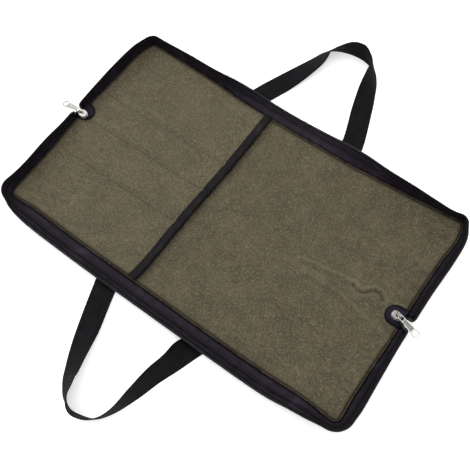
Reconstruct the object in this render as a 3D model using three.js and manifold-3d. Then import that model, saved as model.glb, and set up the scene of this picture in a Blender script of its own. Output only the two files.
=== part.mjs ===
// An open zip-up knife roll lying on a table: a canvas panel with a row of blade pockets,
// black zip gussets along both halves, a slider at each end of the fold and two webbing handles.
// Millimetres. X runs along the fold, left to right, Y from the near edge to the far edge, Z up.
// The origin is the middle of the panel's underside, on the table.
import * as THREE from "three";
import { mergeVertices } from "three/addons/utils/BufferGeometryUtils.js";
import Module from "manifold-3d";

// Canvas panel
const panelLength = 503;
const panelWidth = 300;
const panelThickness = 2.6;
const cornerRadius = 8;
const rimWidth = 36;
const rimLift = 8.4;
const seamWander = 10;
const foldRidgeHeight = 1.5;
const foldRidgeLength = 120;
const foldRidgeWidth = 34;

// Gap left between pieces that touch or are sewn together
const clearance = 0.35;

// Piping along the seam
const pipingWidth = 2;
const pipingHeight = 3.4;

// Zip gusset, measured across its slope from the piping to its free edge
const fabricWidth = 13.2;
const fabricThickness = 1.2;
const tapeWidth = 4.8;
const tapeThickness = 1;
const coilWidth = 4.5;
const coilHeight = 2.6;
const gussetBow = 0.9;

// Blade pockets
const pocketDepth = 216;
const pocketThickness = 1.3;
const pocketGap = 0.5;
const pocketArch = 4.4;
const pocketShoulder = 9;
const pocketEndTaper = 45;
const nearStitch = 57;
const farStitch = 47;
const bindingWidth = 16;
const bindingLeaf = 1;

// Tab under each slider
const tabWidth = 26;
const tabThickness = 1.5;

// Zip slider
const sliderLength = 13;
const sliderWidth = 10.4;
const sliderPlate = 1.2;
const sliderMouth = 3;
const bridgeLength = 7.6;
const hingePlay = 0.75;
const bridgeWidth = 2.6;
const bridgeThickness = 1.3;
const bridgeClear = 3.4;

// Zip pull
const pullLength = 31.5;
const pullThickness = 1.5;
const pullNeckWidth = 6;
const pullBodyWidth = 7.6;
const pullRecess = 0.4;
const pullRail = 0.8;
const eyeLength = 5;
const ringRadius = 5;
const ringHoleRadius = 3.5;

// Webbing handles
const webbingWidth = 30;
const webbingThickness = 1.8;
const handleSpread = 120;
const nearHandleReach = 170;
const farHandleReach = 165;

// The two ends of the fold. fold is the turn where the zip halves meet. sliderInset and tabDepth are
// measured inwards from the seam, shifts along it, swings in degrees in plan, slant is how far the
// notch between the zip halves moves along the seam for each millimetre up the gusset.
const zipEnds = {
  left: {
    sign: -1,
    fold: 3.5,
    sliderInset: 4.5,
    sliderShift: -1.5,
    sliderPitch: 5,
    sliderSwing: 0,
    pullSwing: 3,
    pullTilt: 13,
    tabDepth: 15.5,
    tabShift: 5,
    slant: -0.2,
  },
  right: {
    sign: 1,
    fold: 1.485,
    sliderInset: 7.2,
    sliderShift: 0,
    sliderPitch: 5,
    sliderSwing: -4,
    pullSwing: -12,
    pullTilt: 9,
    tabDepth: 22,
    tabShift: 1.8,
    slant: -0.33,
  },
};

// The seam and the gusset round the open roll. turn counts the sides from the near left corner:
// 0 to 1 near side, 1 to 2 right side, 2 to 3 far side, 3 to 4 left side.
// inset is a share of seamWander, lift of rimLift, slope of the gusset's width, lean is in degrees.
const seamTable = [
  { turn: 0.0, inset: 0.01, lift: 1.0, slope: 0.92, lean: 68 },
  { turn: 0.035, inset: 0.12, lift: 1.0, slope: 0.98, lean: 40 },
  { turn: 0.08, inset: 0.24, lift: 1.05, slope: 1.0, lean: 13 },
  { turn: 0.15, inset: 0.15, lift: 1.1, slope: 0.99, lean: -2 },
  { turn: 0.3, inset: 0.02, lift: 1.16, slope: 0.99, lean: -6 },
  { turn: 0.5, inset: -0.03, lift: 1.12, slope: 0.98, lean: -3 },
  { turn: 0.7, inset: -0.09, lift: 1.16, slope: 0.97, lean: 3 },
  { turn: 0.82, inset: 0.01, lift: 1.05, slope: 0.97, lean: 3 },
  { turn: 0.89, inset: 0.18, lift: 1.0, slope: 0.99, lean: 23 },
  { turn: 0.94, inset: 0.14, lift: 1.0, slope: 0.98, lean: 36 },
  { turn: 1.0, inset: -0.06, lift: 1.0, slope: 0.93, lean: 55 },
  { turn: 1.08, inset: 0.06, lift: 0.9, slope: 1.0, lean: 52 },
  { turn: 1.2, inset: 0.08, lift: 0.8, slope: 1.0, lean: 56 },
  { turn: 1.36, inset: -0.02, lift: 0.6, slope: 0.92, lean: 61 },
  { turn: 1.485, inset: 0.0, lift: 0.45, slope: 0.86, lean: 58 },
  { turn: 1.62, inset: 0.04, lift: 0.65, slope: 0.97, lean: 61 },
  { turn: 1.8, inset: -0.1, lift: 0.85, slope: 0.98, lean: 60 },
  { turn: 1.9, inset: -0.36, lift: 1.0, slope: 1.0, lean: 73 },
  { turn: 1.97, inset: -0.15, lift: 1.0, slope: 0.94, lean: 90 },
  { turn: 2.03, inset: 0.26, lift: 1.0, slope: 0.85, lean: 98 },
  { turn: 2.08, inset: 0.48, lift: 1.0, slope: 0.9, lean: 92 },
  { turn: 2.14, inset: 0.68, lift: 0.98, slope: 0.95, lean: 82 },
  { turn: 2.24, inset: 0.84, lift: 0.85, slope: 0.97, lean: 68 },
  { turn: 2.32, inset: 0.99, lift: 0.7, slope: 0.98, lean: 38 },
  { turn: 2.41, inset: 0.95, lift: 0.6, slope: 1.0, lean: 7 },
  { turn: 2.6, inset: 0.91, lift: 0.6, slope: 0.97, lean: 6 },
  { turn: 2.69, inset: 0.82, lift: 0.8, slope: 0.92, lean: 40 },
  { turn: 2.76, inset: 0.53, lift: 0.95, slope: 0.95, lean: 74 },
  { turn: 2.86, inset: 0.28, lift: 1.0, slope: 0.95, lean: 83 },
  { turn: 3.0, inset: -0.01, lift: 1.0, slope: 0.91, lean: 90 },
  { turn: 3.1, inset: -0.59, lift: 0.95, slope: 0.92, lean: 86 },
  { turn: 3.25, inset: -0.66, lift: 0.8, slope: 0.94, lean: 82 },
  { turn: 3.4, inset: -0.92, lift: 0.58, slope: 0.85, lean: 86 },
  { turn: 3.5, inset: -0.94, lift: 0.45, slope: 0.8, lean: 88 },
  { turn: 3.6, inset: -0.71, lift: 0.58, slope: 0.79, lean: 86 },
  { turn: 3.72, inset: -0.32, lift: 0.8, slope: 0.91, lean: 82 },
  { turn: 3.9, inset: -0.1, lift: 0.95, slope: 0.95, lean: 86 },
];

// How each zip half turns in along the notch to its slider. away is the distance from the fold as a
// share of coilWidth, along a share of the gusset's slope, mouth how far it has gone to the slider
const zipTurn = [
  { away: 2.9, along: 1.0, mouth: 0 },
  { away: 2.15, along: 0.985, mouth: 0 },
  { away: 1.7, along: 0.92, mouth: 0 },
  { away: 1.52, along: 0.78, mouth: 0 },
  { away: 1.5, along: 0.6, mouth: 0.04 },
  { away: 1.38, along: 0.46, mouth: 0.25 },
  { away: 1.05, along: 0.38, mouth: 0.65 },
  { away: 0.62, along: 0.34, mouth: 1 },
];

// Webbing loops, left leg to right leg, along the webbing's outer edge, which lies on the table.
// across is a share of handleSpread from the middle of the roll, out a share of the handle's reach
// from the seam, tilt the angle in degrees that the inner edge has risen by.
const nearHandleTable = [
  { across: -0.77, out: -0.085, tilt: 0 },
  { across: -0.762, out: 0.033, tilt: 0 },
  { across: -0.72, out: 0.133, tilt: 0 },
  { across: -0.533, out: 0.491, tilt: 10 },
  { across: -0.438, out: 0.648, tilt: 25 },
  { across: -0.351, out: 0.767, tilt: 38 },
  { across: -0.282, out: 0.85, tilt: 48 },
  { across: -0.161, out: 0.935, tilt: 64 },
  { across: -0.041, out: 0.963, tilt: 85 },
  { across: 0.056, out: 0.954, tilt: 100 },
  { across: 0.213, out: 0.913, tilt: 100 },
  { across: 0.319, out: 0.82, tilt: 94 },
  { across: 0.431, out: 0.635, tilt: 72 },
  { across: 0.501, out: 0.476, tilt: 58 },
  { across: 0.58, out: 0.332, tilt: 43 },
  { across: 0.653, out: 0.185, tilt: 3 },
  { across: 0.733, out: 0.02, tilt: 0 },
  { across: 0.75, out: -0.085, tilt: 0 },
];
const farHandleTable = [
  { across: -0.79, out: -0.055, tilt: 0 },
  { across: -0.767, out: 0.088, tilt: 0 },
  { across: -0.745, out: 0.196, tilt: 0 },
  { across: -0.601, out: 0.465, tilt: 4 },
  { across: -0.431, out: 0.749, tilt: 30 },
  { across: -0.363, out: 0.868, tilt: 51 },
  { across: -0.292, out: 0.93, tilt: 58 },
  { across: -0.201, out: 0.97, tilt: 67 },
  { across: -0.058, out: 0.999, tilt: 87 },
  { across: 0.048, out: 1.003, tilt: 93 },
  { across: 0.102, out: 1.001, tilt: 91 },
  { across: 0.183, out: 0.986, tilt: 84 },
  { across: 0.296, out: 0.95, tilt: 72 },
  { across: 0.4, out: 0.855, tilt: 51 },
  { across: 0.498, out: 0.704, tilt: 31 },
  { across: 0.6, out: 0.512, tilt: 18 },
  { across: 0.736, out: 0.223, tilt: 16 },
  { across: 0.769, out: 0.072, tilt: 4 },
  { across: 0.79, out: -0.055, tilt: 0 },
];

// Small steps of the meshes
const rimGaps = [0, 4, 8, 15, 22, 29];
const panelColumns = 16;
const panelRows = [-92, -70, -48, -30, -15, -3, 9, 24, 46, 69, 92];
const sideStations = 26;
const endStations = 10;
const cornerStations = 6;
const handleStations = 50;

// Materials
const canvasMaterial = new THREE.MeshStandardMaterial({ color: 0x5f5a47, roughness: 0.85, metalness: 0 });
const gussetMaterial = new THREE.MeshStandardMaterial({ color: 0x24212a, roughness: 0.8, metalness: 0 });
const webbingMaterial = new THREE.MeshStandardMaterial({ color: 0x232227, roughness: 0.75, metalness: 0 });
const pipingMaterial = new THREE.MeshStandardMaterial({ color: 0x35312f, roughness: 0.8, metalness: 0 });
const coilMaterial = new THREE.MeshStandardMaterial({ color: 0x303136, roughness: 0.45, metalness: 0 });
const metalMaterial = new THREE.MeshStandardMaterial({ color: 0xc9c6c0, roughness: 0.3, metalness: 1 });

const halfLength = panelLength / 2;
const halfWidth = panelWidth / 2;
const gussetWidth = fabricWidth + tapeWidth + coilWidth + 2 * clearance;
const mouthX = pocketDepth - halfLength;

// Distances from the fold at which the pieces of a gusset half end
const notchHalf = 1.5 * coilWidth;
const fabricRun = notchHalf + coilWidth / 2 + 2 * clearance;
const tapeRun = 2.95 * coilWidth;
const coilRun = 3.6 * coilWidth;
const slantReach = 45;

function clamp(value, low, high) {
  return Math.min(high, Math.max(low, value));
}

function ramp(value) {
  const t = clamp(value, 0, 1);
  return t * t * (3 - 2 * t);
}

function radians(degrees) {
  return (degrees * Math.PI) / 180;
}

// Smooth value of one column of a table at a place along its key column
function lookUp(rows, key, column, place) {
  let i = 0;
  while (i < rows.length - 2 && rows[i + 1][key] <= place) {
    i += 1;
  }
  const slopeAt = (k) => {
    const a = rows[Math.max(0, k - 1)];
    const b = rows[Math.min(rows.length - 1, k + 1)];
    return (b[column] - a[column]) / (b[key] - a[key]);
  };
  const span = rows[i + 1][key] - rows[i][key];
  const t = clamp((place - rows[i][key]) / span, 0, 1);
  const start = rows[i][column];
  const rise = rows[i + 1][column] - start;
  const t2 = t * t;
  const t3 = t2 * t;
  const fromSlopes = (t3 - 2 * t2 + t) * slopeAt(i) * span + (t3 - t2) * slopeAt(i + 1) * span;
  return start + (3 * t2 - 2 * t3) * rise + fromSlopes;
}

// The seam table goes round, so its ends are repeated on both sides
const seamRound = [
  ...seamTable.slice(-3).map((row) => ({ ...row, turn: row.turn - 4 })),
  ...seamTable,
  ...seamTable.slice(0, 3).map((row) => ({ ...row, turn: row.turn + 4 })),
];

function seamValue(column, turn) {
  return lookUp(seamRound, "turn", column, ((turn % 4) + 4) % 4);
}

// Place on the square-cornered outline at a turn
function squarePlace(turn) {
  const wrapped = ((turn % 4) + 4) % 4;
  const side = Math.floor(wrapped);
  const share = wrapped - side;
  if (side === 0) {
    return [share * panelLength - halfLength, -halfWidth];
  }
  if (side === 1) {
    return [halfLength, share * panelWidth - halfWidth];
  }
  if (side === 2) {
    return [halfLength - share * panelLength, halfWidth];
  }
  return [-halfLength, halfWidth - share * panelWidth];
}

// From square-cornered coordinates to the plan: corners rounded, then the sides bowed
function planPoint(x, y) {
  let px = Math.abs(x);
  let py = Math.abs(y);
  const flatX = halfLength - cornerRadius;
  const flatY = halfWidth - cornerRadius;
  if (px > flatX && py > flatY) {
    const p = (px - flatX) / cornerRadius;
    const q = (py - flatY) / cornerRadius;
    px = flatX + cornerRadius * p * Math.sqrt(1 - (q * q) / 2);
    py = flatY + cornerRadius * q * Math.sqrt(1 - (p * p) / 2);
  }
  const shareX = (x + halfLength) / panelLength;
  const shareY = (y + halfWidth) / panelWidth;
  const insetX = seamValue("inset", x > 0 ? 1 + shareY : 4 - shareY);
  const insetY = seamValue("inset", y > 0 ? 3 - shareX : shareX);
  const weightX = ramp((2 * Math.abs(x)) / panelLength * 1.6 - 0.6);
  const weightY = ramp((2 * Math.abs(y)) / panelWidth * 1.6 - 0.6);
  return [
    Math.sign(x) * (px - insetX * seamWander * weightX),
    Math.sign(y) * (py - insetY * seamWander * weightY),
  ];
}

// Height of the panel's underside: flat on the table, curling up to the seam, with one soft ridge
// beside the fold on the right half
function panelUnder(x, y) {
  const shareX = (x + halfLength) / panelLength;
  const shareY = (y + halfWidth) / panelWidth;
  const sides = [
    { turn: shareX, gap: y + halfWidth },
    { turn: 1 + shareY, gap: halfLength - x },
    { turn: 3 - shareX, gap: halfWidth - y },
    { turn: 4 - shareY, gap: x + halfLength },
  ];
  let open = 1;
  let lifted = 0;
  let weights = 0;
  for (const side of sides) {
    const rise = clamp(1 - side.gap / rimWidth, 0, 1) ** 2;
    open *= 1 - rise;
    lifted += rise * seamValue("lift", side.turn);
    weights += rise;
  }
  const rim = weights > 0 ? (lifted / weights) * (1 - open) * rimLift : 0;
  const ridgeX = (x - halfLength * 0.66) / (foldRidgeLength / 2);
  const ridgeY = (y + foldRidgeWidth * 0.35) / (foldRidgeWidth / 2);
  const ridge = Math.max(0, 1 - ridgeX * ridgeX) * Math.max(0, 1 - ridgeY * ridgeY);
  return rim + foldRidgeHeight * ridge;
}

function panelTop(x, y) {
  return panelUnder(x, y) + panelThickness;
}

// Closed mesh from vertices and triangles, turned so that its faces point out
function closedMesh(points, faces) {
  const geometry = new THREE.BufferGeometry();
  geometry.setAttribute("position", new THREE.Float32BufferAttribute(points.flat(), 3));
  let volume = 0;
  for (const [a, b, c] of faces) {
    const [p, q, r] = [points[a], points[b], points[c]];
    volume += p[0] * (q[1] * r[2] - q[2] * r[1]) - p[1] * (q[0] * r[2] - q[2] * r[0]);
    volume += p[2] * (q[0] * r[1] - q[1] * r[0]);
  }
  const outward = volume < 0 ? faces.map(([a, b, c]) => [a, c, b]) : faces;
  geometry.setIndex(outward.flat());
  geometry.computeVertexNormals();
  return geometry;
}

// A sheet over a grid of square-cornered coordinates, with its lower and upper heights
function sheet(columns, rows, place, under, top) {
  const points = [];
  const faces = [];
  const across = rows.length;
  for (const height of [under, top]) {
    for (const x of columns) {
      for (const y of rows) {
        const [px, py] = place(x, y);
        points.push([px, py, height(x, y)]);
      }
    }
  }
  const layer = columns.length * across;
  const at = (i, j, k) => k * layer + i * across + j;
  for (let i = 0; i < columns.length - 1; i += 1) {
    for (let j = 0; j < across - 1; j += 1) {
      faces.push([at(i, j, 0), at(i, j + 1, 0), at(i + 1, j, 0)]);
      faces.push([at(i + 1, j, 0), at(i, j + 1, 0), at(i + 1, j + 1, 0)]);
      faces.push([at(i, j, 1), at(i + 1, j, 1), at(i, j + 1, 1)]);
      faces.push([at(i + 1, j, 1), at(i + 1, j + 1, 1), at(i, j + 1, 1)]);
    }
  }
  const wall = (a, b) => {
    faces.push([a, b, a + layer]);
    faces.push([b, b + layer, a + layer]);
  };
  const lastColumn = columns.length - 1;
  for (let i = 0; i < lastColumn; i += 1) {
    wall(at(i, 0, 0), at(i + 1, 0, 0));
    wall(at(i + 1, across - 1, 0), at(i, across - 1, 0));
  }
  for (let j = 0; j < across - 1; j += 1) {
    wall(at(0, j + 1, 0), at(0, j, 0));
    wall(at(lastColumn, j, 0), at(lastColumn, j + 1, 0));
  }
  return closedMesh(points, faces);
}

// A solid through rings of the same number of points; looped rings join end to end
function ringSolid(rings, outline, looped = false) {
  const points = rings.flat();
  const faces = [];
  const count = rings[0].length;
  const last = looped ? rings.length : rings.length - 1;
  for (let i = 0; i < last; i += 1) {
    const next = (i + 1) % rings.length;
    for (let k = 0; k < count; k += 1) {
      const a = i * count + k;
      const b = i * count + ((k + 1) % count);
      const c = next * count + k;
      const d = next * count + ((k + 1) % count);
      faces.push([a, b, c]);
      faces.push([b, d, c]);
    }
  }
  if (!looped) {
    const section = outline.map(([x, y]) => new THREE.Vector2(x, y));
    const clockwise = THREE.ShapeUtils.isClockWise(section);
    const end = (rings.length - 1) * count;
    for (const [a, b, c] of THREE.ShapeUtils.triangulateShape(section, [])) {
      const near = clockwise ? [a, b, c] : [a, c, b];
      faces.push(near);
      faces.push([near[0] + end, near[2] + end, near[1] + end]);
    }
  }
  return closedMesh(points, faces);
}

// How strongly a place on the seam follows the slanting notch of the nearest end
function notchSlant(turn) {
  let slant = 0;
  for (const end of Object.values(zipEnds)) {
    const around = ((turn - end.fold + 6) % 4) - 2;
    slant += end.slant * (1 - ramp((Math.abs(around) * panelWidth - notchHalf) / slantReach));
  }
  return slant;
}

// Seam point, outward direction and middle height of the panel's edge at a turn
function seamAt(turn) {
  const step = 0.002;
  const [x, y] = planPoint(...squarePlace(turn));
  const [ax, ay] = planPoint(...squarePlace(turn - step));
  const [bx, by] = planPoint(...squarePlace(turn + step));
  const span = Math.hypot(bx - ax, by - ay);
  const [sx, sy] = squarePlace(turn);
  const lean = radians(seamValue("lean", turn));
  return {
    x,
    y,
    outX: (by - ay) / span,
    outY: -(bx - ax) / span,
    z: panelUnder(sx, sy) + panelThickness / 2,
    width: seamValue("slope", turn) * gussetWidth,
    lean,
    start: pipingWidth + 2 * clearance + (fabricThickness / 2) * Math.abs(Math.sin(lean)),
    slant: notchSlant(turn),
  };
}

// Point of the gusset's middle surface, reached by walking along its slope, and raised off it
function gussetPoint(seam, walk, raise) {
  const share = walk / seam.width;
  const bulge = gussetBow * 4 * share * (1 - share) + raise;
  const out = seam.start + walk * Math.cos(seam.lean) - bulge * Math.sin(seam.lean);
  const up = walk * Math.sin(seam.lean) + bulge * Math.cos(seam.lean);
  return [seam.x + seam.outX * out, seam.y + seam.outY * out + seam.slant * walk, seam.z + up];
}

function turnsBetween(start, end, startAway, endAway) {
  const cornerShareLong = cornerRadius / panelLength;
  const cornerShareShort = cornerRadius / panelWidth;
  const turns = [];
  const addRun = (from, to, count) => {
    for (let k = 0; k < count; k += 1) {
      turns.push(from + ((to - from) * k) / count);
    }
  };
  const first = start + startAway / panelWidth;
  const last = end - endAway / panelWidth;
  const cornerA = Math.ceil(start);
  const cornerB = cornerA + 1;
  addRun(first, cornerA - cornerShareShort, endStations);
  addRun(cornerA - cornerShareShort, cornerA, cornerStations / 2);
  addRun(cornerA, cornerA + cornerShareLong, cornerStations / 2);
  addRun(cornerA + cornerShareLong, cornerB - cornerShareLong, sideStations);
  addRun(cornerB - cornerShareLong, cornerB, cornerStations / 2);
  addRun(cornerB, cornerB + cornerShareShort, cornerStations / 2);
  addRun(cornerB + cornerShareShort, last, endStations);
  turns.push(last);
  return turns;
}

function fabricRings(turns) {
  const share = fabricWidth / (fabricWidth + tapeWidth);
  return turns.map((turn) => {
    const seam = seamAt(turn);
    const edge = (seam.width - coilWidth - clearance) * share;
    const half = fabricThickness / 2;
    const upper = [0, 0.35, 0.7, 1].map((part) => gussetPoint(seam, edge * part, half));
    const lower = [1, 0.7, 0.35, 0].map((part) => gussetPoint(seam, edge * part, -half));
    return [...upper, ...lower];
  });
}

function tapeRings(turns) {
  const share = fabricWidth / (fabricWidth + tapeWidth);
  return turns.map((turn) => {
    const seam = seamAt(turn);
    const edge = seam.width - coilWidth - clearance;
    const start = edge * share + clearance;
    const half = tapeThickness / 2;
    return [
      gussetPoint(seam, start, half),
      gussetPoint(seam, edge, half),
      gussetPoint(seam, edge, -half),
      gussetPoint(seam, start, -half),
    ];
  });
}

const coilSection = [
  [-0.5, -0.1],
  [-0.25, 0.5],
  [0.28, 0.5],
  [0.5, 0],
  [0.2, -0.5],
];

// Middle line of one zip half's coil with the coil's upward direction at each point. It comes out of
// one slider, goes up the notch, round the roll and back down to the other slider.
function coilLine(startEnd, endEnd, start, stop) {
  const endRun = (end, fold, direction) => {
    const pose = sliderPose(end);
    return zipTurn.map((row) => {
      const seam = seamAt(fold + (direction * row.away * coilWidth) / panelWidth);
      const onGusset = new THREE.Vector3(...gussetPoint(seam, coilWalk(seam, row.along), 0));
      const side = Math.sign(seam.y - pose.foldY);
      const mouth = pose.toWorld(sliderLength / 2 + 5 * clearance, side * row.away * coilWidth);
      return {
        point: onGusset.lerp(mouth, row.mouth),
        up: gussetNormal(seam).lerp(new THREE.Vector3(0, 0, 1), row.mouth).normalize(),
      };
    });
  };
  const round = turnsBetween(start, stop, coilRun, coilRun).map((turn) => {
    const seam = seamAt(turn);
    return {
      point: new THREE.Vector3(...gussetPoint(seam, coilWalk(seam, 1), 0)),
      up: gussetNormal(seam),
    };
  });
  return [...endRun(startEnd, start, 1).reverse(), ...round, ...endRun(endEnd, stop, -1)];
}

// The coil's middle stands half its width inside the gusset's free edge
function coilWalk(seam, along) {
  return (seam.width - coilWidth / 2) * along;
}

function gussetNormal(seam) {
  const inward = -Math.sin(seam.lean);
  return new THREE.Vector3(seam.outX * inward, seam.outY * inward, Math.cos(seam.lean));
}

function coilRings(line) {
  return line.map(({ point, up }, i) => {
    const before = line[Math.max(0, i - 1)].point;
    const after = line[Math.min(line.length - 1, i + 1)].point;
    const along = after.clone().sub(before).normalize();
    const across = new THREE.Vector3().crossVectors(along, up).normalize();
    const rise = new THREE.Vector3().crossVectors(across, along).normalize();
    return coilSection.map(([a, b]) => {
      const corner = point.clone();
      corner.addScaledVector(across, a * coilWidth);
      corner.addScaledVector(rise, b * coilHeight);
      return corner.toArray();
    });
  });
}

function pipingRings(turns) {
  const shape = [
    [0, -0.45],
    [0.2, 0.6],
    [0.8, 0.6],
    [1, -0.45],
  ];
  return turns.map((turn) => {
    const seam = seamAt(turn);
    return shape.map(([a, b]) => {
      const out = clearance + a * pipingWidth;
      return [seam.x + seam.outX * out, seam.y + seam.outY * out, seam.z + b * pipingHeight];
    });
  });
}

// Pocket panel: stitched down along three lines and at the seams, arched in between
const stitchLines = [-nearStitch, 0, farStitch];

function archShare(x, y) {
  const edgeGap = (halfWidth - Math.abs(y)) / rimWidth;
  let share = Math.min(1, Math.max(0, edgeGap));
  for (const stitch of stitchLines) {
    share = Math.min(share, Math.abs(y - stitch) / pocketShoulder);
  }
  return share * clamp((x + halfLength - rimWidth) / pocketEndTaper, 0, 1);
}

function leafRoom(x) {
  const room = bindingLeaf + clearance;
  return room * clamp((x - mouthX + 3 * bindingWidth) / bindingWidth, 0, 1);
}

function pocketUnder(x, y) {
  return panelTop(x, y) + pocketGap + leafRoom(x) + pocketArch * archShare(x, y);
}

function pocketTop(x, y) {
  return pocketUnder(x, y) + pocketThickness;
}

// The mouth's edge wanders a little, as the sewn binding does
function mouthAt(y) {
  return mouthX + 1.2 * Math.sin((y / panelWidth) * Math.PI * 3);
}

function rimLines(half) {
  return rimGaps.map((gap) => gap - half);
}

function mirrored(lines) {
  return [...lines, ...lines.map((value) => -value).reverse()];
}

function uniqueSorted(lines) {
  const sorted = [...lines].sort((a, b) => a - b);
  return sorted.filter((value, i) => i === 0 || value - sorted[i - 1] > 0.5);
}

function panelGeometry() {
  const inner = [];
  const flat = halfLength - rimWidth;
  for (let i = 0; i <= panelColumns; i += 1) {
    inner.push(-flat + (2 * flat * i) / panelColumns);
  }
  const columns = uniqueSorted([...mirrored(rimLines(halfLength)), ...inner]);
  const edgeRows = mirrored([...rimLines(halfWidth), rimWidth - halfWidth]);
  const middle = panelRows.map((y) => (y * (halfWidth - rimWidth)) / 114);
  return sheet(columns, uniqueSorted([...edgeRows, ...middle]), planPoint, panelUnder, panelTop);
}

function pocketRows() {
  const lines = mirrored([...rimLines(halfWidth), rimWidth - halfWidth]);
  for (const stitch of stitchLines) {
    lines.push(stitch - pocketShoulder, stitch, stitch + pocketShoulder);
  }
  return uniqueSorted(lines);
}

function pocketGeometry() {
  const edge = mouthX - 2 * bindingLeaf - clearance;
  const columns = [...rimLines(halfLength), rimWidth - halfLength];
  const stops = [0.5, 1].map((part) => rimWidth - halfLength + pocketEndTaper * part);
  const leafEnd = mouthX - 2 * bindingWidth;
  columns.push(...stops, leafEnd - 3 * bindingWidth, leafEnd - bindingWidth, leafEnd, edge);
  const place = (x, y) => {
    const shift = (mouthAt(y) - mouthX) * clamp((x - leafEnd) / (edge - leafEnd), 0, 1);
    return planPoint(x + shift, y);
  };
  return sheet(uniqueSorted(columns), pocketRows(), place, pocketUnder, pocketTop);
}

// Binding folded over the pocket's edge, with a leaf above it and a leaf below it
function bindingGeometry() {
  const rings = [];
  const fold = 2 * bindingLeaf;
  const outline = [
    [-bindingWidth, 1],
    [-bindingWidth, 2],
    [-0.4, 2],
    [0, 1],
    [0, -1],
    [-0.4, -2],
    [-bindingWidth, -2],
    [-bindingWidth, -1],
    [-fold, -1],
    [-fold, 1],
  ];
  for (const y of pocketRows()) {
    const mouth = mouthAt(y);
    rings.push(
      outline.map(([inset, level]) => {
        const x = mouth + inset;
        const base = pocketUnder(Math.min(x, mouthX - fold), y);
        const above = level > 0;
        const leaf = (Math.abs(level) - 1) * bindingLeaf + clearance;
        const [px, py] = planPoint(x, y);
        return [px, py, above ? base + pocketThickness + leaf : base - leaf];
      }),
    );
  }
  return ringSolid(rings, outline);
}

// The slider lies on its tab. toWorld turns a place in the slider's mouth, measured outwards and
// sideways from the slider's middle, into the roll's own coordinates
function sliderPose(end) {
  const share = end.sign > 0 ? end.fold - 1 : 4 - end.fold;
  const foldY = share * panelWidth - halfWidth;
  const y = foldY + end.sliderShift;
  const [px, py] = planPoint(end.sign * (halfLength - end.sliderInset), y);
  const reach = sliderLength / 2;
  const pitch = radians(end.sliderPitch);
  let z = 0;
  for (const inward of [-1, -0.5, 0, 0.5, 1]) {
    const floor = tabFloor(end.sign, end.sliderInset + inward * reach, y) + tabThickness + 1.4 * clearance;
    z = Math.max(z, floor + Math.sin(pitch) * inward * reach);
  }
  const yaw = (end.sign > 0 ? 0 : Math.PI) + radians(end.sliderSwing);
  const toWorld = (outward, sideways) => {
    const turned = sideways * end.sign;
    const height = z + Math.sin(pitch) * outward + sliderPlate + sliderMouth / 2;
    const x = px + Math.cos(yaw) * outward - Math.sin(yaw) * turned;
    return new THREE.Vector3(x, py + Math.sin(yaw) * outward + Math.cos(yaw) * turned, height);
  };
  return { foldY, px, py, z, pitch, yaw, toWorld };
}

// Height that a tab lies on: the panel, or the pocket panel at the left end
function tabFloor(sign, inset, y) {
  const x = sign * (halfLength - Math.max(0, inset));
  return (sign > 0 ? panelTop(x, y) : pocketTop(x, y)) + clearance;
}

function tabGeometry(end) {
  const y = sliderPose(end).foldY + end.tabShift;
  const round = tabWidth / 2;
  const bluntness = Math.min(1, (end.tabDepth * 0.8) / round);
  const straight = end.tabDepth - round * bluntness;
  const steps = [-pipingWidth, 0, straight / 2, straight];
  for (const angle of [24, 46, 64, 80]) {
    steps.push(straight + round * bluntness * Math.sin(radians(angle)));
  }
  const shares = [-1, -0.6, -0.2, 0.2, 0.6, 1];
  const halfAt = (inset) => {
    const along = Math.max(0, inset - straight) / (round * bluntness);
    return round * Math.sqrt(1 - along * along);
  };
  const place = (inset, share) => {
    const flat = end.sign * (halfLength - Math.max(0, inset));
    const [px, py] = planPoint(flat, y + share * halfAt(inset));
    return [px - end.sign * Math.min(0, inset), py];
  };
  const under = (inset, share) => tabFloor(end.sign, inset, y + share * halfAt(inset));
  const top = (inset, share) => under(inset, share) + tabThickness;
  return sheet(steps, shares, place, under, top);
}

const wasm = await Module();
wasm.setup();

function toManifold(geometry) {
  const bare = geometry.clone();
  for (const name of Object.keys(bare.attributes)) {
    if (name !== "position") {
      bare.deleteAttribute(name);
    }
  }
  const merged = mergeVertices(bare, 1e-4);
  const mesh = new wasm.Mesh({
    numProp: 3,
    vertProperties: new Float32Array(merged.attributes.position.array),
    triVerts: new Uint32Array(merged.index.array),
  });
  return new wasm.Manifold(mesh);
}

function fromManifold(solid) {
  const mesh = solid.getMesh();
  const geometry = new THREE.BufferGeometry();
  geometry.setAttribute("position", new THREE.BufferAttribute(mesh.vertProperties, 3));
  geometry.setIndex(new THREE.BufferAttribute(mesh.triVerts, 1));
  geometry.computeVertexNormals();
  return geometry;
}

function joined(geometries) {
  let solid = toManifold(geometries[0]);
  for (const geometry of geometries.slice(1)) {
    solid = solid.add(toManifold(geometry));
  }
  return fromManifold(solid);
}

function extruded(points, depth) {
  const shape = new THREE.Shape(points.map(([x, y]) => new THREE.Vector2(x, y)));
  return new THREE.ExtrudeGeometry(shape, { depth, bevelEnabled: false });
}

// Slider: two shield-shaped plates on a post, and a bridge that holds the pull
const sliderTop = 2 * sliderPlate + sliderMouth;
const bridgeEnd = sliderLength / 2;
const hingeX = bridgeEnd - bridgeThickness - hingePlay - pullThickness / 2;
const hingeZ = sliderTop + bridgeClear / 2;

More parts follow.
